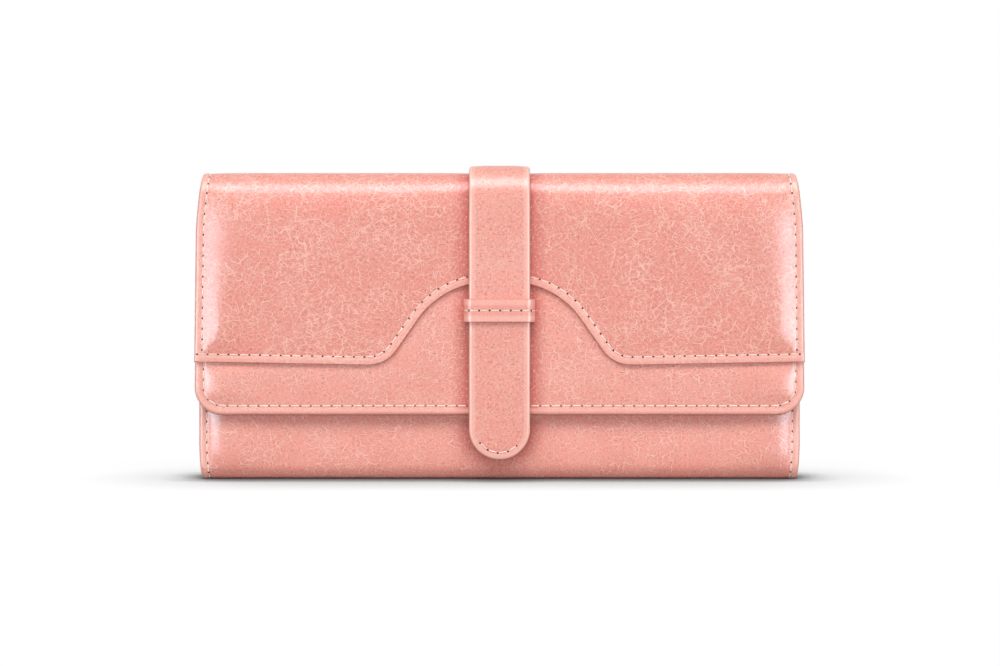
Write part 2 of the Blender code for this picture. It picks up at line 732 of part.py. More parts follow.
def strap_outline(low, high, round_end):
    """Outline of a flat run of strap, square at the top, rounded or square below."""
    half = STRAP_WIDTH / 2
    right = [(half, high)]
    if round_end:
        right += arc((0, low + half), half, 0, -RIGHT, TIP_POINTS)
        return mirrored(right)
    return mirrored(right + [(half, low)])


def make_strap_run(name, start, end, low, high, finish, round_end=False):
    """A flat upright run of strap between two y planes."""
    run = as_object(name, push(strap_outline(low, high, round_end), "y", start, end), finish)
    ease_edges(run, STRAP_EDGE)
    shade_round(run)
    return run


def make_strap_bend(name, centre, start, end, finish):
    """The strap where it turns over a crease of the cover."""
    gap = FIT / 2 / TOP_BEND
    inner = bend(centre, TOP_BEND + FIT, start + gap, end - gap)
    outer = bend(centre, TOP_BEND + FIT + STRAP, start + gap, end - gap)
    section = outer + list(reversed(inner))
    turned = as_object(name, push(section, "x", -STRAP_WIDTH / 2, STRAP_WIDTH / 2), finish)
    ease_edges(turned, STRAP_EDGE)
    shade_round(turned)
    return turned


def make_strap_rear(finish):
    """The strap's fixed end, sewn to the back, with cut corners."""
    half = STRAP_WIDTH / 2
    cut = STRAP_REAR_CORNER
    right = [(half, BEND_Z - FIT / 2)]
    right += arc((half - cut, STRAP_REAR_END + cut), cut, 0, -RIGHT, CORNER_POINTS)
    shape = push(mirrored(right), "y", BACK_Y + FIT, BACK_Y + FIT + STRAP)
    rear = as_object("strap_rear", shape, finish)
    ease_edges(rear, STRAP_EDGE)
    shade_round(rear)
    return rear


def make_strap_top(finish):
    """The strap across the flat of the top."""
    low = BODY_HEIGHT + FIT
    reach = (FLAP_Y + TOP_BEND + FIT / 2, BACK_Y - TOP_BEND - FIT / 2)
    outline = box((-STRAP_WIDTH / 2, reach[0]), (STRAP_WIDTH / 2, reach[1]))
    top = as_object("strap_top", push(outline, "z", low, low + STRAP), finish)
    ease_edges(top, STRAP_EDGE)
    shade_round(top)
    return top


def make_keeper(finish):
    """A leather loop over the strap, its legs set in the panel's slits."""
    half = STRAP_WIDTH / 2 + FIT
    front = STRAP_FRONT - FIT
    foot = PANEL_Y + PANEL - FIT
    outer = half + KEEPER
    corner = (outer - KEEPER_CORNER, front - KEEPER + KEEPER_CORNER)
    right = [(half, front), (half, foot), (outer, foot)]
    right += arc(corner, KEEPER_CORNER, 0, -RIGHT, CORNER_POINTS // 2)
    section = mirrored(right)
    keeper = as_object("keeper", push(section, "z", KEEPER_LOW, KEEPER_LOW + KEEPER_HEIGHT), finish)
    ease_edges(keeper, KEEPER_EDGE, 1)
    shade_round(keeper)
    return keeper


def turned(name, profile, finish):
    """Revolve a (radius, depth) profile about the snap's axis, which points to -Y."""
    shape = bmesh.new()
    rim = [shape.verts.new((radius, depth, SNAP_HEIGHT)) for radius, depth in profile]
    edges = [shape.edges.new(pair) for pair in zip(rim, rim[1:])]
    bmesh.ops.spin(
        shape,
        geom=rim + edges,
        cent=(0, 0, SNAP_HEIGHT),
        axis=(0, 1, 0),
        angle=4 * RIGHT,
        steps=ROUND_SIDES,
        use_merge=True,
    )
    bmesh.ops.remove_doubles(shape, verts=shape.verts[:], dist=FIT / 100)
    thing = as_object(name, shape, finish)
    shade_round(thing)
    return thing


def make_socket(finish):
    """Lower half of the snap, riveted to the front wall."""
    back = FRONT_Y - FIT
    face = back - SOCKET_THICKNESS
    return turned(
        "snap_socket",
        [
            (0, back),
            (SOCKET_RADIUS, back),
            (SOCKET_RADIUS, face + SNAP_EDGE),
            (SOCKET_RADIUS - SNAP_EDGE, face),
            (SOCKET_BORE, face),
            (SOCKET_BORE, face + SOCKET_DEPTH),
            (0, face + SOCKET_DEPTH),
        ],
        finish,
    )


def make_stud(finish):
    """Upper half of the snap: a plate on the strap's back and a pin in the socket."""
    reach = STRAP_AXIS_Z - SNAP_HEIGHT
    back = STRAP_BACK + FIT
    face = FRONT_Y - FIT - SOCKET_THICKNESS - math.sin(STRAP_LEAN) * (reach + STUD_RADIUS) - FIT
    return turned(
        "snap_stud",
        [
            (0, back),
            (STUD_RADIUS, back),
            (STUD_RADIUS, face - SNAP_EDGE),
            (STUD_RADIUS - SNAP_EDGE, face),
            (STUD_PIN, face),
            (STUD_PIN, face + STUD_REACH - SNAP_EDGE),
            (STUD_PIN - SNAP_EDGE, face + STUD_REACH),
            (0, face + STUD_REACH),
        ],
        finish,
    )


def make_body(pink, strap, cloth, slot, board):
    """What stands still: back, base, card slots, side walls and the strap's fixed end."""
    make_back_cover(pink)
    make_back_layers(board, cloth)
    make_card_slots(slot)
    make_gusset("gusset_left", -1, slot)
    make_gusset("gusset_right", 1, slot)
    make_strap_rear(strap)


def make_pocket(cloth, tape, metal):
    """Coin pocket, zip, slider and pull, each on the axis that it moves about."""
    place = pivot("pocket_pivot", (0, POCKET_Y, FLOOR_TOP + FIT + POCKET_DEPTH / 2))
    pieces = [
        make_coin_pocket(cloth),
        make_zip_row("zip_row_rear", 1, 0, tape),
        make_zip_row("zip_row_front", -1, 1 / 2, tape),
        make_zip_stop("zip_stop_start", -CHAIN_LENGTH / 2 - STOP_LENGTH, metal),
        make_zip_stop("zip_stop_end", CHAIN_LENGTH / 2 + STOP_LENGTH, metal),
    ]
    for piece in pieces:
        hang(piece, place)
    slide = pivot("slider_place", (SLIDER_X, POCKET_Y, CHAIN_Z))
    hang(make_slider(metal), slide)
    swing = pivot("pull_pivot", (SLIDER_X, POCKET_Y, PULL_Z))
    hang(make_pull(metal), swing)


def make_front(pink, cloth, board, metal):
    """Front wall, which spreads from the front edge of the base."""
    place = pivot("front_pivot", (0, FRONT_Y + BASE_INSET, BASE_INSET))
    for piece in [make_front_cover(pink), *make_front_layers(board, cloth), make_socket(metal)]:
        hang(piece, place)


def make_top(pink, strap, cloth):
    """The top between the creases, and the strap over it."""
    place = pivot("rear_crease", (0, BACK_Y - TOP_INSET, BODY_HEIGHT - TOP_INSET))
    rear = (BACK_Y - TOP_BEND, BEND_Z)
    front = (FLAP_Y + TOP_BEND, BEND_Z)
    pieces = [
        make_top_cover(pink),
        make_top_lining(cloth),
        make_strap_top(strap),
        make_strap_bend("strap_bend_rear", rear, 0, RIGHT, strap),
        make_strap_bend("strap_bend_front", front, RIGHT, 2 * RIGHT, strap),
    ]
    for piece in pieces:
        hang(piece, place)


def make_flap(pink, strap, cloth, board, metal):
    """The flap with its keeper and strap, and the strap's free tip with the snap's stud."""
    place = pivot("front_crease", (0, FLAP_Y + TOP_INSET, BODY_HEIGHT - TOP_INSET))
    low = STRAP_AXIS_Z + FIT / 2
    run = make_strap_run("strap_front", STRAP_BACK, STRAP_FRONT, low, BEND_Z - FIT / 2, strap)
    pieces = [make_yoke(pink), make_panel(pink), *make_flap_layers(board, cloth)]
    for piece in [*pieces, run, make_keeper(strap)]:
        hang(piece, place)
    tip_place = pivot("strap_pivot", (0, STRAP_FRONT, STRAP_AXIS_Z), STRAP_LEAN)
    top = STRAP_AXIS_Z - FIT
    tip = make_strap_run("strap_tip", STRAP_BACK, STRAP_FRONT, STRAP_TIP_LOW, top, strap, True)
    hang(tip, tip_place)
    hang(make_stud(metal), tip_place)


def build():
    """Make every piece of the wallet."""
    clear_scene()
    pink = material("pink_leather")
    strap = material("strap_leather")
    slot = material("slot_leather")
    cloth = material("lining_cloth")
    board = material("board")
    tape = material("zip_tape")
    metal = material("snap_metal")
    make_body(pink, strap, cloth, slot, board)
    make_pocket(cloth, tape, metal)
    make_front(pink, cloth, board, metal)
    make_top(pink, strap, cloth)
    make_flap(pink, strap, cloth, board, metal)


build()
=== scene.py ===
# %% [markdown]
# # A clutch wallet with a flap, a strap and a zipped coin pocket
# The wallet is leather over board. Its leather was cut flat, padded, sewn and only then folded,
# and the cells below work in that order, because a flat pattern is easy to draw and to measure.
# The imported model is the frame: every piece here rides on one of its bodies, or is left in place at
# a hinge between two.

# %% Load the frame
import math

import bmesh
import bpy
import numpy as np
from mathutils import Matrix, Vector, noise


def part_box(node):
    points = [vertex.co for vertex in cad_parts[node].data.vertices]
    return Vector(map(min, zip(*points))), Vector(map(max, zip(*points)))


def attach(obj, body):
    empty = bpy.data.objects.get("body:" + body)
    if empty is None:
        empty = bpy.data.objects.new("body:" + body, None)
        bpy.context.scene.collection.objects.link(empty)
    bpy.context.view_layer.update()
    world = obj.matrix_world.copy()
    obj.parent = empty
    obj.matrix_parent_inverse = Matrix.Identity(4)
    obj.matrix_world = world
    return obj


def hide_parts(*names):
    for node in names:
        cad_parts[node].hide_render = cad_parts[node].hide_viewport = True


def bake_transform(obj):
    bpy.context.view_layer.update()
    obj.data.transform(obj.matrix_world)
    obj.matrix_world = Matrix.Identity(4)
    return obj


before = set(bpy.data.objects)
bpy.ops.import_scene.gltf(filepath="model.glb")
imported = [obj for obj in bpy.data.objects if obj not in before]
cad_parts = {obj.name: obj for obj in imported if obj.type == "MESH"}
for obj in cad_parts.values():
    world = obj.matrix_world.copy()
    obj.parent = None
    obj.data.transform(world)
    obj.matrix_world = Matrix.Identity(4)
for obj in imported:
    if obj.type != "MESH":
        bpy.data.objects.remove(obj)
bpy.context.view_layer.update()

# %% [markdown]
# ## Sizes
# The frame gives the outside of every piece, so the looks follow the solids. Only what a box
# can't say, such as a bend's radius, is named here again, in metres.

# %% Sizes of the frame
mm = 0.001
RIGHT = math.radians(90.0)
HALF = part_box("back_cover")[1].x
BACK_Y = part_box("back_cover")[1].y
FRONT_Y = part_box("front_cover")[0].y
FRONT_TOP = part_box("front_cover")[1].z
TOP_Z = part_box("top_cover")[1].z
FLAP_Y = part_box("flap_yoke")[0].y
FLAP_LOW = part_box("flap_panel")[0].z
PANEL_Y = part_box("flap_panel")[0].y
PANEL_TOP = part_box("flap_panel")[1].z
FLAP_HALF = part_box("flap_panel")[1].x
STRAP_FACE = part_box("strap_front")[0].y
STRAP_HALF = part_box("strap_front")[1].x
TOP_BEND = 8 * mm
BASE_BEND = 5 * mm
COVER = 1.2 * mm
BEND_Z = TOP_Z - TOP_BEND
print("cover", round(2 * HALF / mm, 1), "mm wide, flap", round(2 * FLAP_HALF / mm, 1), "mm wide")

# %% [markdown]
# ## A line to fold along
# Seen from its end, the cover is one line: up the flap, over the top, down the back, under the
# base and up the front. A point of the flat pattern is a place along that line and a height off
# its left side, which is the outside. Folding the pattern is then a lookup, with no hand placing.

# %% A track of straights and quarter bends


class Track:
    """A line that starts upwards, read by its length. A bend is a quarter turn to the right."""

    def __init__(self, start, runs):
        self.runs = []
        y, z = start
        at, heading = 0.0, RIGHT
        for straight, radius in runs:
            self.runs.append((at, 0.0, y, z, heading))
            y += math.cos(heading) * straight
            z += math.sin(heading) * straight
            at += straight
            if radius:
                self.runs.append((at, radius, y, z, heading))
                for turn in (heading, heading - RIGHT):
                    y += math.cos(turn) * radius
                    z += math.sin(turn) * radius
                heading -= RIGHT
                at += radius * RIGHT
        self.length = at

    def place(self, along, height):
        """The (y, z) of a point at a length along the line and a height off its left side."""
        for at, radius, y, z, heading in reversed(self.runs):
            if along >= at:
                break
        normal = heading + RIGHT
        if radius:
            y += math.cos(heading - RIGHT) * radius
            z += math.sin(heading - RIGHT) * radius
            normal -= (along - at) / radius
            height += radius
        else:
            y += math.cos(heading) * (along - at)
            z += math.sin(heading) * (along - at)
        return y + math.cos(normal) * height, z + math.sin(normal) * height

    def lay(self, shape):
        """Lay a flat pattern along the line: its x stays, its y is the length, its z the height."""
        for vert in shape.verts:
            vert.co.y, vert.co.z = self.place(vert.co.y, vert.co.z)


def upright(y):
    """A straight line up at one depth, for the sheets that don't bend."""
    return Track((y, 0.0), [(BEND_Z, 0.0)])


TOP_FLAT = BACK_Y - FLAP_Y - 2 * TOP_BEND
BASE_FLAT = BACK_Y - FRONT_Y - 2 * BASE_BEND
COVER_RUNS = [
    (BEND_Z, TOP_BEND),
    (TOP_FLAT, TOP_BEND),
    (BEND_Z - BASE_BEND, BASE_BEND),
    (BASE_FLAT, BASE_BEND),
    (FRONT_TOP - BASE_BEND, 0.0),
]
cover_track = Track((FLAP_Y, 0.0), COVER_RUNS)
FLAP_BENT = BEND_Z + TOP_BEND * RIGHT
MID_TOP = FLAP_BENT + TOP_FLAT / 2
REAR_BEND = FLAP_BENT + TOP_FLAT
BACK_START = REAR_BEND + TOP_BEND * RIGHT
BASE_START = BACK_START + BEND_Z - BASE_BEND
MID_BASE = BASE_START + BASE_BEND * RIGHT + BASE_FLAT / 2
FRONT_START = BASE_START + 2 * BASE_BEND * RIGHT + BASE_FLAT
print("the cover's leather is", round(cover_track.length / mm, 1), "mm long, laid flat")

# %% [markdown]
# ## Which body a piece moves with
# The flap folds about two creases and the front spreads from the base. Each hinge names the two
# bodies and two points on its crease. A piece that is given a body rides on it, and a piece that
# is given a hinge is left where it lies.

# %% Hinges, as two bodies and two points on each crease
REAR_HINGE = ("root", "top", (0, BACK_Y, BEND_Z), (0, BACK_Y - TOP_BEND, TOP_Z))
FLAP_HINGE = ("top", "flap", (0, FLAP_Y + TOP_BEND, TOP_Z), (0, FLAP_Y, BEND_Z))
BASE_HINGE = ("root", "front", (0, FRONT_Y + BASE_BEND, 0), (0, FRONT_Y, BASE_BEND))


def move_with(piece, hinge):
    """Let a piece ride on the one body that is named, or leave it in place with its transform baked
    in.
    """
    if isinstance(hinge, str):
        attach(piece, hinge)
    else:
        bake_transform(piece)


# %% [markdown]
# ## From a bmesh to a piece
# Every piece ends the same way: faces outwards, round places shaded smooth with true edges kept
# sharp, and the nodes that it stands for hidden.

# %% Finish a piece
SHARP = math.radians(40.0)


def to_mesh(name, shape):
    """Turn a bmesh into a mesh and free it."""
    mesh = bpy.data.meshes.new(name)
    shape.to_mesh(mesh)
    shape.free()
    return mesh


def put(name, data):
    """Put an object with its data in the scene."""
    item = bpy.data.objects.new(name, data)
    bpy.context.scene.collection.objects.link(item)
    return item


def as_piece(name, shape, finish, slot, hinge, stands_for=()):
    """Turn a bmesh into a named piece, riding on a body of the frame or left in place at a hinge."""
    bmesh.ops.recalc_face_normals(shape, faces=shape.faces[:])
    mesh = to_mesh(name, shape)
    mesh.materials.append(finish)
    mesh.shade_smooth()
    mesh.set_sharp_from_angle(angle=SHARP)
    piece = put(name, mesh)
    move_with(piece, hinge)
    if stands_for:
        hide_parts(*stands_for)
    print(f"{name}: {len(mesh.polygons)} faces")
    return piece


# %% [markdown]
# ## Node helpers
# A finish is a small graph of nodes. These helpers add a node with its settings and its inputs
# in one line, or a whole sum, ramp or mix, so that the graphs below stay short.

# %% Helpers for node graphs


def feed(tree, item, inputs):
    """Feed a node's inputs, each with a value or from a socket."""
    for name, value in dict(inputs).items():
        if isinstance(value, bpy.types.NodeSocket):
            tree.links.new(value, item.inputs[name])
        else:
            item.inputs[name].default_value = value


def add(tree, kind, inputs=(), **settings):
    """Add a node with its settings and its inputs."""
    item = tree.nodes.new("ShaderNode" + kind)
    for name, value in settings.items():
        setattr(item, name, value)
    feed(tree, item, inputs)
    return item


def maths(tree, operation, first, second=0.0, third=0.0):
    """One maths node; gives its output."""
    return add(tree, "Math", {0: first, 1: second, 2: third}, operation=operation).outputs[0]


def product(tree, first, *others):
    """The product of two or more values."""
    for other in others:
        first = maths(tree, "MULTIPLY", first, other)
    return first


def ramp(tree, value, low, high, start=0.0, end=1.0):
    """A smooth step from start to end as a value goes from low to high."""
    inputs = {"Value": value, "From Min": low, "From Max": high, "To Min": start, "To Max": end}
    return add(tree, "MapRange", inputs, interpolation_type="SMOOTHSTEP").outputs[0]


def mix(tree, share, first, second):
    """Mix two colours."""
    return add(tree, "Mix", {0: share, 6: first, 7: second}, data_type="RGBA").outputs[2]


def grainy(tree, vector, scale, detail=2.0, roughness=0.5, distortion=0.0):
    """A noise texture; gives its outputs: the value and the colour."""
    inputs = {"Vector": vector, "Scale": scale, "Detail": detail, "Roughness": roughness}
    return add(tree, "TexNoise", {**inputs, "Distortion": distortion}).outputs


def start_group(name, inputs, outputs):
    """A node group with its named sockets; gives the tree, its inputs and its output node."""
    tree = bpy.data.node_groups.new(name, "ShaderNodeTree")
    for way, sockets in (("INPUT", inputs), ("OUTPUT", outputs)):
        for label, kind in sockets.items():
            tree.interface.new_socket(label, in_out=way, socket_type="NodeSocket" + kind)
    return tree, tree.nodes.new("NodeGroupInput").outputs, tree.nodes.new("NodeGroupOutput")


def new_finish(name):
    """A material with its tree and its shader."""
    finish = bpy.data.materials.new(name)
    finish.use_nodes = True
    return finish, finish.node_tree, finish.node_tree.nodes["Principled BSDF"]


def object_place(tree):
    """Object coordinates."""
    return add(tree, "TexCoord").outputs["Object"]


def bumpy(tree, height, strength, distance):
    """A normal that follows a height."""
    inputs = {"Height": height, "Strength": strength, "Distance": distance}
    return add(tree, "Bump", inputs).outputs[0]


# %% [markdown]
# ## Waxed leather
# Pull-up leather is dyed, then filled with wax. Where it is creased the wax parts and the dye
# looks paler, so old creases stay as fine branching lines, and the places between them are
# cloudy. The lines come from five nets of warped cell walls, coarse to fine, kept only in
# clusters, each with a painted shade beside it for the crease's relief, and the clouds and the
# pores from plain noise. Painted shade also runs as a dark line along the very edge. All of it
# is read on the flat pattern that each sheet carries, so that it folds with the leather and
# doesn't smear on the rims.

# %% Group for the leather's surface
# Each net has its scale, stretch, turn, line width, cluster scale, cluster spread and share.
NETS = [
    (130.0, 1.5, 0.6, 0.018, 40.0, 0.47, 0.85),
    (290.0, 1.8, 1.9, 0.038, 60.0, 0.45, 0.85),
    (620.0, 2.4, 1.2, 0.082, 85.0, 0.455, 0.8),
    (620.0, 2.3, 2.7, 0.082, 95.0, 0.445, 0.8),
    (700.0, 2.4, 0.1, 0.090, 75.0, 0.465, 0.8),
]
CLOUD_SCALE = 70.0
PEBBLE_SCALE = 1250.0


def warped(tree, vector, scale, amount):
    """A vector pushed aside by noise."""
    push = grainy(tree, vector, scale, 3.0, 0.55)["Color"]
    push = add(tree, "VectorMath", {0: push, 1: (0.5, 0.5, 0.5)}, operation="SUBTRACT").outputs[0]
    push = add(tree, "VectorMath", {0: push, "Scale": amount}, operation="SCALE").outputs[0]
    return add(tree, "VectorMath", {0: vector, 1: push}, operation="ADD").outputs[0]


def crease_nets(tree, place):
    """The pale line along old creases and the painted shade beside it, both from 0 to 1."""
    drawn = warped(tree, place, 38.0, 0.014)
    moved = warped(tree, drawn, 420.0, 0.0006)
    broken = ramp(tree, grainy(tree, place, 520.0, 2.0, 0.6, 0.3)[0], 0.36, 0.52)
    vein, beside = 0.0, 0.0
    for scale, stretch, turn, width, cluster, spread, share in NETS:
        inputs = {"Vector": moved, "Rotation": (0, 0, turn), "Scale": (stretch, 1, 1)}
        squeezed = add(tree, "Mapping", inputs, vector_type="TEXTURE").outputs[0]
        settings = {"voronoi_dimensions": "2D", "feature": "DISTANCE_TO_EDGE"}
        cells = add(tree, "TexVoronoi", {"Vector": squeezed, "Scale": scale}, **settings)
        gap = cells.outputs["Distance"]
        shifted = add(tree, "Mapping", {"Vector": place, "Location": (turn,) * 3}).outputs[0]
        patch = ramp(tree, grainy(tree, shifted, cluster)[0], spread, spread + 0.10)
        patch = product(tree, patch, broken)
        line = product(tree, ramp(tree, gap, width * 0.4, width, share, 0.0), patch)
        shade = product(tree, ramp(tree, gap, width * 0.9, width * 2.4, 1.0, 0.0), patch)
        vein = maths(tree, "MAXIMUM", vein, line)
        beside = maths(tree, "MAXIMUM", beside, shade)
    return vein, beside


def leather_surface():
    """Colour, roughness and height of waxed leather, paler over turned edges."""
    sockets = {"Vector": "Vector", "Veins": "Float", "Grain": "Float", "Margin": "Float"}
    sockets.update({"Rim": "Float", "PaintedShade": "Float", "Colour": "Color", "Pale": "Color"})
    sockets.update({"Deep": "Color", "SpeckAndShade": "Color", "RimPale": "Color", "ShadeColour": "Color"})
    outputs = {"Colour": "Color", "Roughness": "Float", "Height": "Float"}
    tree, given, made = start_group("waxed_leather", sockets, outputs)
    place, margin = given["Vector"], given["Margin"]
    vein, beside = crease_nets(tree, place)
    # The crease lines fade where painted shade is laid in.
    free = maths(tree, "SUBTRACT", 1.0, given["PaintedShade"])
    vein = product(tree, vein, product(tree, given["Veins"], free))
    beside = product(tree, beside, product(tree, given["Veins"], 0.5))
    pebble = maths(tree, "SUBTRACT", grainy(tree, place, PEBBLE_SCALE, 2.0, 0.75)[0], 0.5)
    tone = product(tree, pebble, given["Grain"])
    bright = ramp(tree, tone, 0.02, 0.26, 0.0, 0.7)
    # The dark grain tone, and the painted shade beside the creases.
    dark = maths(tree, "MAXIMUM", ramp(tree, tone, -0.03, -0.29), beside)
    cloud = ramp(tree, grainy(tree, place, CLOUD_SCALE, 4.0, 0.6, 0.4)[0], 0.35, 0.68)
    turned = ramp(tree, margin, 1.6, 2.5, 0.5, 0.0)
    turned = product(tree, turned, ramp(tree, margin, 0.1, 0.45))
    # A pale band along the rim, as much as the sheet's rim share asks.
    rim_band = product(tree, ramp(tree, margin, 0.7, 1.2, 1.0, 0.0), given["Rim"])
    # Painted shade: a dark line along the very edge, where the rim turns away from the light.
    edge = ramp(tree, margin, 0.02, 0.3, 0.65, 0.0)
    colour = given["Colour"]
    for share, dye in (
        (product(tree, cloud, 0.35), "Deep"),
        # painted shade, beside the strap and under the flap, where a leather asks for it
        (given["PaintedShade"], "ShadeColour"),
        (dark, "SpeckAndShade"),
        (maths(tree, "MAXIMUM", bright, vein), "Pale"),
        (turned, "Pale"),
        (rim_band, "RimPale"),
        (edge, "SpeckAndShade"),
    ):
        colour = mix(tree, share, colour, given[dye])
    rough = maths(tree, "MULTIPLY_ADD", vein, 0.06, ramp(tree, cloud, 0.0, 1.0, 0.33, 0.39))
    height = maths(tree, "MULTIPLY_ADD", vein, 0.6, tone)
    feed(tree, made, {"Colour": colour, "Roughness": rough, "Height": height})
    return tree


LEATHER = leather_surface()

# %% [markdown]
# ## Dyes and painted shade
# One dye runs through all the leathers. The flap's lower leather and the front wall take a lighter
# copy of it, painted light for the brighter light low on the front, and the strap and the keeper take
# that lighter pink too. Painted shade darkens the leather beside the strap, and on the front wall
# just under the flap's lower edge. Both places are found by their distance from those edges.

# %% Leathers
PINK = (0.86, 0.307, 0.243)
# The lighter pink is painted light: a lit copy of the same leather for the sheets low on the front.
# The strap and the keeper use it too.
PINK_LIGHTER = (0.91, 0.37, 0.30)
PINK_INSIDE = (0.82, 0.315, 0.25)
DYES = {
    "Pale": (1.0, 0.55, 0.46, 1),
    "Deep": (0.77, 0.255, 0.20, 1),
    # Dark grain specks, also the painted shade beside the creases and along the very edge.
    "SpeckAndShade": (0.60, 0.175, 0.13, 1),
    "RimPale": (0.98, 0.66, 0.545, 1),
    # Colour of the painted shade beside the strap and under the flap.
    "ShadeColour": (0.60, 0.10, 0.075, 1),
}
STRAP_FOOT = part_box("strap_tip")[0].z + STRAP_HALF


def sheet_place(tree, offset):
    """Place on the flat pattern, moved so that two sheets don't share one grain."""
    source = add(tree, "Attribute", attribute_name="flat").outputs["Vector"]
    return add(tree, "Mapping", {"Vector": source, "Location": offset}).outputs[0]


def painted_shade_beside_strap(tree, parts, front, high):
    """Share of painted shade, from 1 at the strap's edge to 0 well beside it, on the front and below
    a height.
    """
    under = maths(tree, "MINIMUM", maths(tree, "SUBTRACT", parts["Z"], STRAP_FOOT), 0.0)
    from_line = maths(tree, "POWER", maths(tree, "ABSOLUTE", parts["X"]), 2.0)
    from_line = maths(tree, "ADD", from_line, product(tree, under, under))
    gap = maths(tree, "SUBTRACT", maths(tree, "SQRT", from_line), STRAP_HALF)
    share = ramp(tree, gap, 0.0, 6.5 * mm, 1.0, 0.0)
    inside = ramp(tree, gap, -2.5 * mm, -0.5 * mm)
    below = ramp(tree, parts["Z"], high - 2 * mm, high, 1.0, 0.0)
    return product(tree, share, inside, below, front)


def painted_shade_under_flap(tree, parts, front):
    """Share of painted shade, from 1 at the flap's lower edge to 0 some way below it, on the front.
    """
    share = ramp(tree, parts["Z"], FLAP_LOW - 5.5 * mm, FLAP_LOW - 0.5 * mm)
    below = ramp(tree, parts["Z"], FLAP_LOW + mm, FLAP_LOW + 3 * mm, 1.0, 0.0)
    return product(tree, share, below, front)


def leather(name, offset, colour, veins=1.0, grain=1.0, rim=0.0, strap_shade=0.0, high=1.0, flap_shade=0.0):
    """Waxed leather of one dye, with painted shade beside the strap and under the flap's lower edge.
    """
    finish, tree, shader = new_finish(name)
    parts = add(tree, "SeparateXYZ", {0: object_place(tree)}).outputs
    front = ramp(tree, parts["Y"], -8 * mm, -4 * mm, 1.0, 0.0)
    # Painted shade: beside the strap, and on the front wall under the flap's lower edge.
    shade_share = product(tree, painted_shade_beside_strap(tree, parts, front, high), strap_shade)
    shade_share = maths(tree, "MAXIMUM", shade_share, product(tree, painted_shade_under_flap(tree, parts, front), flap_shade))
    margin = add(tree, "Attribute", attribute_name="margin").outputs["Fac"]
    inputs = {"Vector": sheet_place(tree, offset), "Colour": (*colour, 1), "Margin": margin}
    inputs.update({"Veins": veins, "Grain": grain, "Rim": rim, "PaintedShade": shade_share, **DYES})
    surface = add(tree, "Group", inputs, node_tree=LEATHER).outputs
    looks = {"Base Color": surface["Colour"], "Roughness": surface["Roughness"]}
    looks.update({"Specular IOR Level": 0.4, "Coat Weight": 0.3, "Coat Roughness": 0.3})
    feed(tree, shader, {**looks, "Normal": bumpy(tree, surface["Height"], 0.5, 0.07 * mm)})
    return finish


# The flap's two leathers take painted shade beside the strap.
pink_leather = leather("pink_leather", (0, 0, 0), PINK, grain=1.3, strap_shade=0.9)
panel_leather = leather("panel_leather", (0.31, 0.17, 0), PINK_LIGHTER, grain=1.15, strap_shade=0.9)
# The front wall takes painted shade beside the strap's tip and under the flap's lower edge.
under = {"strap_shade": 0.75, "high": FLAP_LOW, "flap_shade": 0.32}
front_leather = leather("front_leather", (0.13, 0.47, 0), PINK_LIGHTER, grain=1.05, **under)
# The strap has a pale band along its rounded rim.
strap_leather = leather("strap_leather", (0.5, 0.2, 0), PINK_LIGHTER, 0.75, 1.3, rim=0.6)
keeper_leather = leather("keeper_leather", (0.2, 0.6, 0), PINK_LIGHTER, 0.7, 0.9)
slot_leather = leather("slot_leather", (0.7, 0.1, 0), PINK_INSIDE, 0.5)
print("leathers:", [item.name for item in bpy.data.materials if "leather" in item.name])

# %% [markdown]
# ## Cloth, tape, thread, board and metal
# The lining is a plain woven cloth: two waves at right angles, one for each thread direction,
# give its small checks of light and dark. The zip's tape is the same group with coarser threads.
# Thread is a twisted cord, the board is felted fibre, and the metal is plated and polished.

# %% Group for a plain weave


def weave_surface():
    """Colour and height of a plain weave in the plane of x and z or of x and y."""
    sockets = {"Vector": "Vector", "Colour": "Color", "Deep": "Color", "Pitch": "Float"}
    outputs = {"Colour": "Color", "Height": "Float"}
    tree, given, made = start_group("plain_weave", sockets, outputs)
    parts = add(tree, "SeparateXYZ", {0: given["Vector"]}).outputs
    turn = maths(tree, "DIVIDE", 2 * math.pi, given["Pitch"])
    along = maths(tree, "SINE", product(tree, parts["X"], turn))
    depth = maths(tree, "ADD", parts["Y"], parts["Z"])
    across = maths(tree, "SINE", product(tree, depth, turn))
    check = product(tree, along, across)
    slub = grainy(tree, given["Vector"], 900.0, 2.0, 0.6)[0]
    height = maths(tree, "ADD", ramp(tree, check, -1.0, 1.0), product(tree, slub, 0.5))
    colour = mix(tree, ramp(tree, height, 0.1, 1.2), given["Deep"], given["Colour"])
    feed(tree, made, {"Colour": colour, "Height": height})
    return tree


WEAVE = weave_surface()


def cloth(name, colour, deep, pitch):
    """Woven cloth of one colour; the pitch is the size of one thread."""
    finish, tree, shader = new_finish(name)
    inputs = {"Vector": object_place(tree), "Pitch": pitch, "Colour": (*colour, 1)}
    surface = add(tree, "Group", {**inputs, "Deep": (*deep, 1)}, node_tree=WEAVE).outputs
    looks = {"Base Color": surface["Colour"], "Roughness": 0.85, "Sheen Weight": 0.25}
    feed(tree, shader, {**looks, "Normal": bumpy(tree, surface["Height"], 0.5, 0.1 * mm)})
    return finish


def speckled(name, colour, deep, scale, rough, metal=0.0, bump=0.02, gloss=0.5):
    """A plain finish with a fine cloudy variation, for board, thread and metal."""
    finish, tree, shader = new_finish(name)
    cloud = grainy(tree, object_place(tree), scale, 3.0, 0.6)[0]
    colour = mix(tree, ramp(tree, cloud, 0.35, 0.65), (*deep, 1), (*colour, 1))
    rough = ramp(tree, cloud, 0.3, 0.7, rough * 1.15, rough * 0.85)
    looks = {"Base Color": colour, "Roughness": rough, "Metallic": metal}
    looks.update({"Specular IOR Level": gloss, "Normal": bumpy(tree, cloud, 0.3, bump * mm)})
    feed(tree, shader, looks)
    return finish


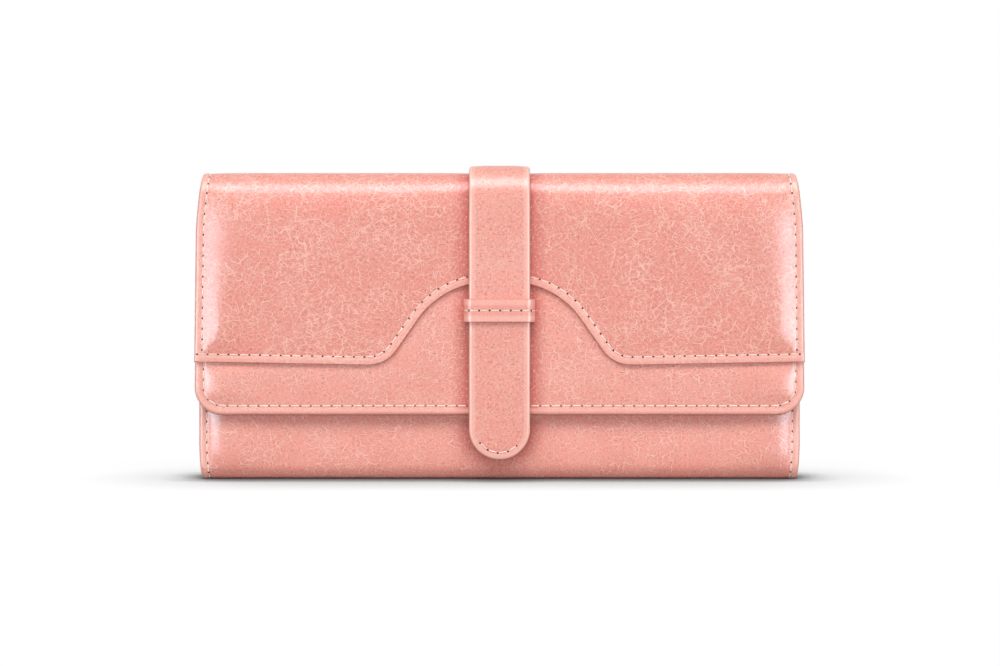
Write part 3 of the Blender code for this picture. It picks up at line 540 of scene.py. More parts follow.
lining_cloth = cloth("lining_cloth", (0.56, 0.36, 0.25), (0.36, 0.21, 0.14), 0.7 * mm)
pocket_cloth = cloth("pocket_cloth", (0.60, 0.40, 0.29), (0.40, 0.25, 0.17), 0.6 * mm)
tape_cloth = cloth("tape_cloth", (0.68, 0.33, 0.27), (0.48, 0.19, 0.15), 0.9 * mm)
board_fibre = speckled("board_fibre", (0.34, 0.31, 0.27), (0.25, 0.23, 0.20), 900.0, 0.9)
thread = speckled("thread", (0.97, 0.88, 0.80), (0.88, 0.74, 0.64), 2500.0, 0.6)
# Each needle hole is a near-black disc: painted shade for the hollow of the hole.
dark, darkest = (0.03, 0.012, 0.01), (0.015, 0.008, 0.006)
needle_hole_shade = speckled("needle_hole_shade", dark, darkest, 2000.0, 0.9, gloss=0.1)
gold, shade = (0.86, 0.68, 0.42), (0.80, 0.60, 0.34)
plated_metal = speckled("plated_metal", gold, shade, 1800.0, 0.24, 1.0, 0.004)
print("finishes:", len(bpy.data.materials))

# %% [markdown]
# ## A flat sheet that is ready to be padded
# A sheet starts as one flat face. Rings set in from its edge give the faces that a rolled edge
# and a sewn groove need, and a grid of cuts gives those for the padding and the folds. The sheet
# runs past a seam while the rings are made and is cut there last, so both sides of the seam match.

# %% Cut a sheet
RINGS = [0.12, 0.3, 0.55, 0.85, 1.0, 1.06, 1.6, 2.15, 2.55, 2.95, 3.6, 4.4, 5.4, 6.6, 8.0]


def steps(low, high, step):
    """Evenly spaced places between two values, both included."""
    count = max(1, round((high - low) / step))
    return [low + (high - low) * number / count for number in range(count + 1)]


def cut(shape, place, normal, clear=False):
    """Cut a whole bmesh with a plane, and clear what lies on its outer side if asked."""
    geometry = shape.verts[:] + shape.edges[:] + shape.faces[:]
    plane = {"plane_co": place, "plane_no": normal, "clear_outer": clear}
    bmesh.ops.bisect_plane(shape, geom=geometry, dist=1e-7, **plane)


def flat_sheet(outline, across, along, low=None, high=None, rings=RINGS):
    """A flat sheet with rings along its edge and a grid of cuts, ended at its seams."""
    shape = bmesh.new()
    face = shape.faces.new([shape.verts.new((u, v, 0)) for u, v in outline])
    even = {"use_even_offset": True, "use_boundary": True}
    for before, ring in zip([0.0] + rings, rings):
        bmesh.ops.inset_region(shape, faces=[face], thickness=(ring - before) * mm, **even)
    for u in across:
        cut(shape, (u, 0, 0), (1, 0, 0))
    for v in along:
        cut(shape, (0, v, 0), (0, 1, 0))
    if low is not None:
        cut(shape, (0, low, 0), (0, -1, 0), clear=True)
    if high is not None:
        cut(shape, (0, high, 0), (0, 1, 0), clear=True)
    bmesh.ops.remove_doubles(shape, verts=shape.verts[:], dist=0.015 * mm)
    many = [item for item in shape.faces if len(item.verts) > 4]
    bmesh.ops.triangulate(shape, faces=many)
    return shape


# %% [markdown]
# ## Heights over the flat sheet
# What the hand feels on such leather is a height over the flat pattern, and most of it follows
# the distance from the edge: the edge rolls over, a lip stands up, the stitches sink in a
# groove, and behind them the padding swells. The distance is measured to the drawn edge.

# %% Heights
STITCH_INSET = 2.55 * mm
STRAP_SEWN = BACK_START + BEND_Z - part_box("strap_rear")[0].z


def smooth(low, high, value):
    """Smooth step from 0 at low to 1 at high."""
    share = np.clip((value - low) / (high - low), 0, 1)
    return share * share * (3 - 2 * share)


def distance_to(points, path):
    """Distance of each (u, v) point from a path of straight pieces."""
    path = np.array(path)
    start, run = path[:-1], path[1:] - path[:-1]
    best = np.full(len(points), 1.0)
    size = (run**2).sum(1)
    for (u, v), (du, dv), length in zip(start, run, size):
        away = points - (u, v)
        share = np.clip((away[:, 0] * du + away[:, 1] * dv) / max(length, 1e-12), 0, 1)
        gap = np.hypot(away[:, 0] - share * du, away[:, 1] - share * dv)
        best = np.minimum(best, gap)
    return best


def rolled(away, radius):
    """Drop of a face towards an edge that is rounded with a radius."""
    inside = np.clip(radius - away, 0, radius)
    return np.sqrt(radius**2 - inside**2) - radius


def bell(value, middle, width):
    """A bump of height 1 round a middle, for lips, beads and grooves."""
    return np.exp(-(((value - middle) / width) ** 2))


def sewn_edge(away, radius=0.8 * mm, inset=STITCH_INSET):
    """Rolled edge, lip and stitch groove by the distance from the edge."""
    lip = 0.14 * mm * bell(away, 1.45 * mm, 0.7 * mm) * smooth(0, 0.8 * mm, away)
    return rolled(away, radius) + lip - 0.16 * mm * bell(away, inset, 0.38 * mm)


def uneven(points, size, seed):
    """Slow unevenness of hand-worked leather, from -1 to 1."""
    return np.array([noise.noise(Vector((u / size, v / size, seed))) for u, v in points])


def lumpy(points, seed):
    """Factor near 1 for padding that isn't quite even."""
    return 1 + 0.08 * uneven(points, 14 * mm, seed)


def swelling(away, start=2.7 * mm, end=14 * mm):
    """Rise of the padding from 0 to 1: steep beside the stitches, then ever flatter."""
    share = np.clip((away - start) / (end - start), 0, 1)
    return (1 - (1 - share) ** 2) * smooth(start - 0.4 * mm, start + 1.0 * mm, away)


def end_ridge(side, start, end):
    """Extra rise beside the seams at the two ends, which fades towards the middle."""
    return swelling(side, 2.7 * mm, 8.5 * mm) * (1 - smooth(start, end, side))


def clear_of_strap(points):
    """0 under the strap, where it presses the padding flat, and 1 well beside it."""
    beside = smooth(STRAP_HALF - 1.5 * mm, STRAP_HALF + 6.5 * mm, np.abs(points[:, 0]))
    below = smooth(STRAP_SEWN, STRAP_SEWN + 6 * mm, points[:, 1])
    return np.maximum(beside, below)


def thicken(shape, path, face, back):
    """Give a flat sheet its two faces: heights by distance from its edge and by place."""
    margin = shape.verts.layers.float.new("margin")
    flat = shape.verts.layers.float_vector.new("flat")
    grown = bmesh.ops.extrude_face_region(shape, geom=shape.faces[:])
    raised = {item for item in grown["geom"] if isinstance(item, bmesh.types.BMVert)}
    verts = shape.verts[:]
    points = np.array([vert.co[:2] for vert in verts])
    away = distance_to(points, path)
    heights = face(away, points)
    depths = back(away, points)
    for vert, near, height, depth in zip(verts, away, heights, depths):
        inward = 0 if vert in raised else height - depth
        vert[flat] = (vert.co.x + 0.8 * inward, vert.co.y + 0.6 * inward, 0)
        vert.co.z = height if vert in raised else depth
        vert[margin] = near / mm


def plain_back(depth, radius=0.0):
    """A face at one depth, with its edge rounded with a radius."""
    return lambda away, points: -depth - rolled(away, radius)


def make_sheet(name, edge, grid, seams, faces, lay, look, hinge, nodes, rings=RINGS, path=None):
    """A piece from a flat outline: cut, given its two faces, laid along its line and finished."""
    shape = flat_sheet(edge, *grid, *seams, rings)
    thicken(shape, path or edge, *faces)
    lay(shape)
    return as_piece(name, shape, *look, hinge, nodes)


# %% [markdown]
# ## Outlines of the flat pattern
# The cover is a little narrower where it turns over the top and round the base, because the
# bend pulls its edges in, and the flap widens a little downwards. The flap's upper leather ends
# in an ogee: a low edge at both sides that climbs on tangent arcs to an arch under the strap.

# %% Outlines
YOKE_LOW = 37 * mm
YOKE_SIDE = 38 * mm
ARCH_TOP = 63.4 * mm
ARCH_FLAT = 3.8 * mm
ARCH_RADIUS = 27 * mm
FOOT_RADIUS = 11 * mm
ARCH_SLOPE = math.radians(55.0)
FLAP_CORNER = 8.9 * mm
TOP_PULL = 1.35 * mm
PAST = 24 * mm
SPARE = 9 * mm
BASE_PULL = 0.5 * mm


def half_width(v):
    """Half of the cover's width at a place along its line."""
    flare = (FLAP_HALF - HALF) * max(0.0, BEND_Z - v) / (BEND_Z - FLAP_LOW)
    top = TOP_PULL * smooth(BEND_Z - 12 * mm, BEND_Z + 9 * mm, v)
    top *= 1 - smooth(BACK_START - 9 * mm, BACK_START + 12 * mm, v)
    low = smooth(BASE_START - 6 * mm, BASE_START + 5 * mm, v)
    low *= 1 - smooth(FRONT_START - 5 * mm, FRONT_START + 6 * mm, v)
    return HALF + flare - top - BASE_PULL * low


def side_distance(points):
    """Distance of each (u, v) point from the nearer side of the cover."""
    return np.array([half_width(v) - abs(u) for u, v in points])


def arc(centre, radius, start, end, count):
    """Points of a round between two angles, both ends included."""
    turns = steps(start, end, (end - start) / count)
    return [(centre[0] + radius * math.cos(t), centre[1] + radius * math.sin(t)) for t in turns]


def side_line(start, end, inset=0.0):
    """Right edge of the cover between two places, with points only where its width changes."""
    low, high = min(start, end), max(start, end)
    zones = [
        (BEND_Z - 12 * mm, BEND_Z + 9 * mm),
        (BACK_START - 9 * mm, BACK_START + 12 * mm),
        (BASE_START - 6 * mm, BASE_START + 5 * mm),
        (FRONT_START - 5 * mm, FRONT_START + 6 * mm),
    ]
    turns = [BEND_Z, FLAP_LOW + FLAP_CORNER] + [v for zone in zones for v in steps(*zone, 2 * mm)]
    places = [low] + sorted(v for v in turns if low + SPARE < v < high - SPARE) + [high]
    if start > end:
        places.reverse()
    return [(half_width(v) - inset, v) for v in places]


def mirrored(right_side):
    """Close an outline drawn on the right with its left half."""
    return right_side + [(-u, v) for u, v in reversed(right_side) if u > 0]


def both_sides(row):
    """A row on the right and the same on the left."""
    return [row, [(-u, v) for u, v in row]]


def ogee():
    """Right half of the upper leather's lower edge, from the side to the arch's flat top."""
    rise = (ARCH_RADIUS + FOOT_RADIUS) * (1 - math.cos(ARCH_SLOPE))
    straight = (ARCH_TOP - YOKE_LOW - rise) / math.tan(ARCH_SLOPE)
    foot_u = ARCH_FLAT + (ARCH_RADIUS + FOOT_RADIUS) * math.sin(ARCH_SLOPE) + straight
    foot = arc((foot_u, YOKE_LOW + FOOT_RADIUS), FOOT_RADIUS, -RIGHT, -RIGHT - ARCH_SLOPE, 16)
    arch_centre = (ARCH_FLAT, ARCH_TOP - ARCH_RADIUS)
    arch = arc(arch_centre, ARCH_RADIUS, RIGHT - ARCH_SLOPE, RIGHT, 22)
    return [(half_width(YOKE_SIDE), YOKE_SIDE)] + foot + arch


yoke_edge = mirrored(side_line(MID_TOP + PAST, YOKE_SIDE)[:-1] + ogee())
ogee_edge = mirrored(ogee())
print("the ogee edge has", len(ogee_edge), "points")

# %% [markdown]
# ## Stitches
# The seams are sewn with cream thread: a run of thread from hole to hole, and at each end a small
# dark disc, painted shade for the needle hole. One stitch is a short rounded bar of a few dozen
# faces, copied along a row in the flat pattern, so that it folds with the leather under it.

# %% Sewing
STITCH_PITCH = 3.35 * mm
THREAD = 0.20 * mm
HOLE = 0.32 * mm
HOLE_ROOM = 2.1 * HOLE


def spaced(path, pitch):
    """Points along a path, one pitch apart, the first half a pitch from its start."""
    found = []
    left = pitch / 2
    for (u, v), (u2, v2) in zip(path, path[1:]):
        length = math.hypot(u2 - u, v2 - v)
        while left <= length and length:
            share = left / length
            found.append((u + (u2 - u) * share, v + (v2 - v) * share))
            left += pitch
        left -= length
    return found


def inset_path(path, inset):
    """A path moved to its left by an inset."""
    moved = []
    for at, (u, v) in enumerate(path):
        before = path[max(0, at - 1)]
        after = path[min(len(path) - 1, at + 1)]
        turn = math.atan2(after[1] - before[1], after[0] - before[0]) + RIGHT
        moved.append((u + inset * math.cos(turn), v + inset * math.sin(turn)))
    return moved


def stitch_mesh(length):
    """One thread run: a rounded bar along x."""
    shape = bmesh.new()
    bmesh.ops.create_uvsphere(shape, u_segments=8, v_segments=6, radius=THREAD)
    bmesh.ops.rotate(shape, verts=shape.verts[:], matrix=Matrix.Rotation(RIGHT, 3, "Y"))
    for vert in shape.verts:
        if abs(vert.co.x) > THREAD / 10:
            vert.co.x += math.copysign(length / 2 - THREAD, vert.co.x)
        else:
            vert.co.z += THREAD / 4
    return to_mesh("stitch", shape)


def stamp(shape, mesh, place):
    """Add a copy of a mesh to a bmesh at a place."""
    count = len(shape.verts)
    shape.from_mesh(mesh)
    shape.verts.ensure_lookup_table()
    bmesh.ops.transform(shape, matrix=place, verts=shape.verts[count:])


def sew(name, rows, face, path, lay, hinge, slot="pink_leather", pitch=STITCH_PITCH, side=1):
    """Thread and needle holes along rows of (u, v) points on a sheet's face, laid as the sheet is."""

    def height(u, v):
        point = np.array([(u, v)])
        return float(face(distance_to(point, path), point)[0])

    one = stitch_mesh(pitch - HOLE_ROOM)
    sewn, holes = bmesh.new(), bmesh.new()
    hole = {"cap_ends": True, "segments": 8, "radius1": HOLE, "radius2": HOLE, "depth": 0.2 * mm}
    for row in rows:
        marks = spaced(row, pitch)
        for near, far in zip(marks, marks[1:]):
            middle = Vector(((near[0] + far[0]) / 2, (near[1] + far[1]) / 2))
            turn = math.atan2(far[1] - near[1], far[0] - near[0])
            place = Matrix.Translation((*middle, height(*middle) + side * THREAD * 0.35))
            place = place @ Matrix.Rotation(turn, 4, "Z")
            if side < 0:
                place = place @ Matrix.Rotation(2 * RIGHT, 4, "X")
            stamp(sewn, one, place)
        for u, v in marks:
            place = Matrix.Translation((u, v, height(u, v) - side * 0.04 * mm))
            bmesh.ops.create_cone(holes, matrix=place, **hole)
    bpy.data.meshes.remove(one)
    for kind, shape, finish in (("thread", sewn, thread), ("holes", holes, needle_hole_shade)):
        lay(shape)
        as_piece(f"{kind}_{name}", shape, finish, slot, hinge)


# %% [markdown]
# ## The flap's upper leather
# It runs from under the strap's arch up the flap and over the front edge of the top. Foam under
# it swells behind the stitches, most well above the ogee and along both ends, less over the bend
# where the leather is drawn tight, and not at all under the strap. At the sides of the bend it is
# turned in down to the lining.

# %% Upper leather of the flap
YOKE_SWELL = 1.75 * mm
TOP_SWELL = 0.2 * mm
AT_OGEE, OGEE_REACH = 0.17, 45 * mm
AT_CORNER, CORNER_RISE, CORNER_REACH = 0.55, 0.4, 12 * mm
END_FULL, END_GONE = 7 * mm, 20 * mm
PRESSED_SHARE = 0.1
SHEET_STEP = 2.6 * mm
ACROSS = steps(-FLAP_HALF, FLAP_HALF, SHEET_STEP)
RIM = 1.03 * mm
DEEP_RIM = 3.2 * mm
TOP_RIM = 2.1 * mm
PINK_LOOK = (pink_leather, "pink_leather")


def bend_cuts(start, radius):
    """Cuts across a quarter bend, one for every few degrees."""
    return steps(start, start + radius * RIGHT, radius * math.radians(7.5))


def unpressed(points):
    """Share of the swell that the strap leaves: a little under it and all well beside it."""
    return PRESSED_SHARE + (1 - PRESSED_SHARE) * clear_of_strap(points)


def padding(rise, points, amount):
    """Swell of an amount, flattened under the strap."""
    return rise * amount * lumpy(points, 3.0) * unpressed(points)


def yoke_face(away, points):
    """Outer face of the upper leather."""
    over = smooth(BEND_Z - 6 * mm, BEND_Z + 6 * mm, points[:, 1])
    amount = YOKE_SWELL + (TOP_SWELL - YOKE_SWELL) * over
    low = distance_to(points, ogee_edge)
    radius = np.where(low < away + mm / 1000, 0.35 * mm, 0.8 * mm)
    share = AT_OGEE + (1 - AT_OGEE) * smooth(0, OGEE_REACH, low)
    at_end = AT_CORNER + CORNER_RISE * smooth(0, CORNER_REACH, low)
    end = 1 - smooth(END_FULL, END_GONE, side_distance(points))
    rise = swelling(away) * (share + (at_end - share) * end)
    return sewn_edge(away, radius) + padding(rise, points, amount)


def turned_in(points, start, end, from_depth, to_depth):
    """Depth of a turned-in rim that changes evenly over a stretch of the line."""
    share = np.clip((points[:, 1] - start) / (end - start), 0, 1)
    return from_depth + (to_depth - from_depth) * share


def yoke_back(away, points):
    """Inner face of the upper leather, with the rim at the sides of the bend."""
    rim = turned_in(points, PANEL_TOP, FLAP_BENT, 4.2 * mm, TOP_RIM)
    bent = (away < RIM) & (points[:, 1] > PANEL_TOP + 0.3 * mm)
    return np.where(bent, -rim, -COVER - rolled(away, 0.3 * mm))


along = steps(YOKE_LOW, PANEL_TOP, SHEET_STEP) + [PANEL_TOP + 0.3 * mm]
along += bend_cuts(BEND_Z, TOP_BEND) + [FLAP_BENT + 3 * mm]
cover_flap = make_sheet(
    "cover_flap",
    yoke_edge,
    (ACROSS, along),
    (None, MID_TOP),
    (yoke_face, yoke_back),
    cover_track.lay,
    PINK_LOOK,
    FLAP_HINGE,
    ["flap_yoke"],
)
rows = both_sides(side_line(MID_TOP, YOKE_SIDE + 1 * mm, STITCH_INSET))
rows = [inset_path(ogee_edge, -STITCH_INSET)] + rows
sew("flap_upper", rows, yoke_face, yoke_edge, cover_track.lay, FLAP_HINGE)

# %% [markdown]
# ## The back and the base
# The same leather goes on over the rear edge of the top, down the back and under the base to
# its middle, where the front's leather takes over. Its turned-in rim is as deep as the board.

# %% Back cover
BACK_SWELL = 0.7 * mm


def back_face(away, points):
    """Outer face of the back: padded on the flat, tight over the top and under the base."""
    v = points[:, 1]
    flat = smooth(BACK_START - 6 * mm, BACK_START + 6 * mm, v)
    down = smooth(BASE_START - 8 * mm, BASE_START + 2 * mm, v)
    amount = TOP_SWELL + (BACK_SWELL - TOP_SWELL) * flat
    return sewn_edge(away) + padding(swelling(away), points, amount * (1 - down))


def back_back(away, points):
    """Inner face of the back, with its rim."""
    rim = turned_in(points, REAR_BEND, BACK_START, TOP_RIM, DEEP_RIM)
    return np.where((away < RIM) & (points[:, 1] < BASE_START), -rim, -COVER)


back_outline = mirrored(side_line(MID_TOP - PAST, MID_BASE + PAST))
along = [REAR_BEND - 3 * mm] + bend_cuts(REAR_BEND, TOP_BEND)
along += steps(BACK_START, BASE_START, 3 * mm) + bend_cuts(BASE_START, BASE_BEND)
cover_back = make_sheet(
    "cover_back",
    back_outline,
    (ACROSS, along),
    (MID_TOP, MID_BASE),
    (back_face, back_back),
    cover_track.lay,
    PINK_LOOK,
    REAR_HINGE,
    ["back_cover", "top_cover"],
)
rows = both_sides(side_line(MID_TOP, MID_BASE, STITCH_INSET))
sew("back", rows, back_face, back_outline, cover_track.lay, REAR_HINGE)

# %% [markdown]
# ## The front wall
# It comes up from the middle of the base, where the base's hinge lies, and ends in a turned edge
# under the flap. The padding stays low there, to leave the flap its room, and is flattened round
# the snap. Below the flap it swells more at both ends, as the flap does.

# %% Front wall
FRONT_SWELL = 0.5 * mm
FRONT_RIDGE = 0.85 * mm
SNAP_Z = (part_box("snap_socket")[0].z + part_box("snap_socket")[1].z) / 2
FRONT_END = cover_track.length


def front_face(away, points):
    """Outer face of the front wall."""
    v = points[:, 1]
    height = v - FRONT_END + FRONT_TOP
    from_snap = np.hypot(points[:, 0], v - (FRONT_END - FRONT_TOP + SNAP_Z))
    amount = FRONT_SWELL * smooth(FRONT_START - 4 * mm, FRONT_START + 4 * mm, v)
    rise = swelling(away) * smooth(6 * mm, 11 * mm, from_snap)
    shown = smooth(1 * mm, 9 * mm, height) * (1 - smooth(FLAP_LOW, FLAP_LOW + 4 * mm, height))
    ridge = FRONT_RIDGE * end_ridge(side_distance(points), 10 * mm, 30 * mm) * shown
    return sewn_edge(away) + (rise * amount + ridge) * lumpy(points, 7.0)


def front_back(away, points):
    """Inner face of the front wall, with its rim."""
    rim = np.where(points[:, 1] > FRONT_START, DEEP_RIM, COVER)
    return np.where(away < RIM, -rim, -COVER)


front_outline = mirrored(side_line(MID_BASE - PAST, FRONT_END))
along = bend_cuts(FRONT_START - BASE_BEND * RIGHT, BASE_BEND)
along += steps(FRONT_START + 2 * mm, FRONT_END, 3 * mm)[:-1]
cover_front = make_sheet(
    "cover_front",
    front_outline,
    (ACROSS, along),
    (MID_BASE, None),
    (front_face, front_back),
    cover_track.lay,
    (front_leather, "pink_leather"),
    BASE_HINGE,
    ["front_cover"],
)
rows = [mirrored(side_line(MID_BASE, FRONT_END - STITCH_INSET, STITCH_INSET))]
sew("front", rows, front_face, front_outline, cover_track.lay, BASE_HINGE)

# %% [markdown]
# ## The flap's lower leather
# It lies under the upper leather, shows below the ogee edge, and its edges are turned in round
# board and lining. Where the upper leather presses on it, it stays flat, and it swells most at
# both ends below the ogee.

# %% Lower leather of the flap
PANEL_SWELL = 0.3 * mm
PANEL_RIDGE = 0.7 * mm
PANEL_INSET = 2.95 * mm
panel_track = upright(PANEL_Y)
ogee_half = sorted(ogee())


def flap_line(inset=0.0, top=PANEL_TOP):
    """Right half of the flap's outline, drawn in by an inset, with its round corner."""
    radius = FLAP_CORNER - inset
    low = FLAP_LOW + inset
    corner = (half_width(low + radius) - inset - radius, low + radius)
    return side_line(top, low + radius, inset)[:-1] + arc(corner, radius, 0, -RIGHT, 16)


def from_ogee(points):
    """Distance below the ogee edge, and 0 where the upper leather lies on top."""
    edge = np.interp(np.abs(points[:, 0]), *zip(*ogee_half))
    return np.where(points[:, 1] < edge, distance_to(points, ogee_edge), 0.0)


def panel_face(away, points):
    """Outer face of the lower leather."""
    clear = smooth(0.2 * mm, 3.5 * mm, from_ogee(points))
    swell = np.minimum(swelling(away), clear) * PANEL_SWELL
    shown = np.minimum(smooth(2.9 * mm, 7.5 * mm, points[:, 1] - FLAP_LOW), clear)
    swell += PANEL_RIDGE * end_ridge(side_distance(points), 8 * mm, 26 * mm) * shown
    swell *= lumpy(points, 5.0) * unpressed(points)
    return sewn_edge(away, 0.9 * mm, PANEL_INSET) + swell


def panel_back(away, points):
    """Inner face of the lower leather, with its rim."""
    return np.where(away < RIM, -2.8 * mm - rolled(away, 0.3 * mm), -1.0 * mm)


panel_edge = mirrored(flap_line())
flap_front = make_sheet(
    "flap_lower",
    panel_edge,
    (ACROSS, steps(FLAP_LOW, PANEL_TOP, 2 * mm)),
    (None, None),
    (panel_face, panel_back),
    panel_track.lay,
    (panel_leather, "pink_leather"),
    "flap",
    ["flap_panel"],
)
rows = [mirrored(flap_line(PANEL_INSET, YOKE_SIDE + 2 * mm))]
sew("flap_lower", rows, panel_face, panel_edge, panel_track.lay, "flap")

# %% [markdown]
# ## The strap
# The strap is two leathers with a filler, rounded along its edges. It is sewn to the back, runs
# over the top and down the flap, and ends in a round tip behind which the snap sits. It is cut in
# three at the middle of the top and under the keeper, so that each length crosses one joint.

# %% Strap
STRAP_BEND = TOP_BEND + FLAP_Y - STRAP_FACE
STRAP_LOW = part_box("strap_tip")[0].z
STRAP_THICK = 2.0 * mm
STRAP_CROWN = 0.25 * mm
STRAP_PAST = 8 * mm
STRAP_INSET = 2.3 * mm
REAR_CORNER = 3 * mm
SEWN_LENGTH = 22 * mm
STRAP_RINGS = [0.12, 0.3, 0.55, 0.8, 1.0, 1.5, 2.0, 2.3, 2.6, 2.9]
STRAP_LOOK = (strap_leather, "strap_leather")
down_back = BEND_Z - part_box("strap_rear")[0].z
strap_runs = [(BEND_Z, STRAP_BEND), (TOP_FLAT, STRAP_BEND), (down_back, 0.0)]
strap_track = Track((STRAP_FACE, 0.0), strap_runs)
STRAP_MID = BEND_Z + STRAP_BEND * RIGHT + TOP_FLAT / 2
STRAP_END = strap_track.length
STRAP_SEAM = STRAP_END - SEWN_LENGTH
KEEPER_LOW, KEEPER_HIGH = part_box("keeper")[0].z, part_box("keeper")[1].z
STRAP_SPLIT = (KEEPER_LOW + KEEPER_HIGH) / 2


def strap_face(away, points):
    """Outer face of the strap: rounded edges and a slight crown."""
    return rolled(away, 1.0 * mm) + STRAP_CROWN * smooth(0.8 * mm, 5 * mm, away)


def rear_face(away, points):
    """Outer face of the strap's rear length, sewn down near its end."""
    sewn = smooth(STRAP_SEAM - 2 * mm, STRAP_SEAM, points[:, 1])
    return strap_face(away, points) - 0.14 * mm * bell(away, STRAP_INSET, 0.38 * mm) * sewn


def make_strap(name, edge, along, seams, face, hinge, nodes, lay=strap_track.lay):
    """One length of strap between two seams, or from a seam to its shaped end."""
    grid = (steps(-STRAP_HALF, STRAP_HALF, 1.4 * mm), along)
    faces = (face, plain_back(STRAP_THICK, 0.5 * mm))
    make_sheet(name, edge, grid, seams, faces, lay, STRAP_LOOK, hinge, nodes, STRAP_RINGS)


run = [(STRAP_HALF, STRAP_SPLIT - STRAP_PAST), (STRAP_HALF, STRAP_MID + STRAP_PAST)]
over_edge = mirrored(run)
along = steps(STRAP_SPLIT, BEND_Z, 3 * mm) + bend_cuts(BEND_Z, STRAP_BEND)
nodes = ["strap_front", "strap_bend_front", "strap_top"]
seams = (STRAP_SPLIT, STRAP_MID)
make_strap("strap_over", over_edge, along, seams, strap_face, FLAP_HINGE, nodes)

rear_centre = (STRAP_HALF - REAR_CORNER, STRAP_END - REAR_CORNER)
run = [(STRAP_HALF, STRAP_MID - STRAP_PAST)] + arc(rear_centre, REAR_CORNER, 0, RIGHT, 8)
rear_edge = mirrored(run)
along = bend_cuts(STRAP_MID + TOP_FLAT / 2, STRAP_BEND)
along += steps(STRAP_END - 29 * mm, STRAP_END, 3 * mm)[1:-1]
nodes = ["strap_rear", "strap_bend_rear"]
make_strap("strap_rear_run", rear_edge, along, (STRAP_MID, None), rear_face, REAR_HINGE, nodes)

inset = STRAP_HALF - STRAP_INSET
inner_centre = (inset - 1 * mm, STRAP_END - STRAP_INSET - 1 * mm)
around = mirrored([(inset, STRAP_SEAM)] + arc(inner_centre, 1 * mm, 0, RIGHT, 4))
rows = [around, [(inset, STRAP_SEAM), (-inset, STRAP_SEAM)]]
sew("strap_rear", rows, rear_face, rear_edge, strap_track.lay, REAR_HINGE, "strap_leather")

# %% [markdown]
# ## The strap's tip
# Below the keeper the strap leans in to the thinner part of the flap. It is bent there over a few
# millimetres, where its hinge also lies. Round the tip the leather is sewn, and its rim stands up
# as a pale half ring.

# %% Strap tip
TIP_TURN = (STRAP_FACE, 49.7 * mm)
panel_clear = PANEL_Y - 0.3 * mm - (STRAP_FACE + STRAP_THICK)
LEAN = math.asin(panel_clear / (TIP_TURN[1] - FLAP_LOW + FLAP_CORNER / 2))
tip_ends = [(0, STRAP_FACE, KEEPER_LOW + past) for past in (0.5 * mm, -4 * mm)]
TIP_HINGE = ("flap", "tip", *tip_ends)
TIP_CENTRE = (0.0, STRAP_LOW + STRAP_HALF)
run = [(STRAP_HALF, STRAP_SPLIT + STRAP_PAST)] + arc(TIP_CENTRE, STRAP_HALF, 0, -RIGHT, 26)
tip_edge = mirrored(run)


def tip_face(away, points):
    """Outer face of the tip, with a stitch groove round its end only."""
    low = 1 - smooth(TIP_CENTRE[1] - 6 * mm, TIP_CENTRE[1] - 1 * mm, points[:, 1])
    return strap_face(away, points) - 0.16 * mm * bell(away, STRAP_INSET, 0.4 * mm) * low


def lay_tip(shape):
    """Lay the tip along the strap's line, then lean what is below the keeper inwards."""
    strap_track.lay(shape)
    for vert in shape.verts:
        share = 1 - float(smooth(TIP_TURN[1] - 3 * mm, TIP_TURN[1] + 1 * mm, vert.co.z))
        y, z = vert.co.y - TIP_TURN[0], vert.co.z - TIP_TURN[1]
        turn = LEAN * share
        vert.co.y = TIP_TURN[0] + y * math.cos(turn) - z * math.sin(turn)
        vert.co.z = TIP_TURN[1] + y * math.sin(turn) + z * math.cos(turn)


along = steps(STRAP_LOW, STRAP_SPLIT, 1.5 * mm)
seams = (None, STRAP_SPLIT)
make_strap("strap_end", tip_edge, along, seams, tip_face, TIP_HINGE, ["strap_tip"], lay_tip)
ends = (math.radians(-158), math.radians(-22))
rows = [arc(TIP_CENTRE, STRAP_HALF - STRAP_INSET, *ends, 23)]
sew("strap_end", rows, tip_face, tip_edge, lay_tip, TIP_HINGE, "strap_leather")

# %% [markdown]
# ## The keeper
# A narrow band of doubled leather, bent round the strap's edges and let into the flap. It is a
# flat band like the other sheets, only folded along a line that is seen from above.

# %% Keeper
KEEPER_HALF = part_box("keeper")[1].x
KEEPER_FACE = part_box("keeper")[0].y
KEEPER_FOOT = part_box("keeper")[1].y
KEEPER_BEND = 3.0 * mm
KEEPER_THICK = 1.2 * mm
KEEPER_RINGS = [0.1, 0.25, 0.4, 0.55, 0.9, 1.6]
half_tall = (KEEPER_HIGH - KEEPER_LOW) / 2
leg = KEEPER_FOOT - KEEPER_FACE - KEEPER_BEND
runs = [(leg, KEEPER_BEND), (2 * (KEEPER_HALF - KEEPER_BEND), KEEPER_BEND), (leg, 0.0)]
keeper_track = Track((-KEEPER_HALF, -KEEPER_FOOT), runs)


def keeper_face(away, points):
    """Outer face of the keeper: rounded edges and a groove for its one row of stitches."""
    return rolled(away, 0.25 * mm) - 0.12 * mm * bell(points[:, 0], 0.0, 0.4 * mm)


def round_strap(shape):
    """Fold a flat band round the strap: its length becomes the line seen from above."""
    for vert in shape.verts:
        x, front = keeper_track.place(vert.co.y, vert.co.z)
        vert.co = (x, -front, STRAP_SPLIT + vert.co.x)


def band(low, high):
    """Four corners of a band as wide as the keeper, between two places along it."""
    return [(half_tall, low), (half_tall, high), (-half_tall, high), (-half_tall, low)]


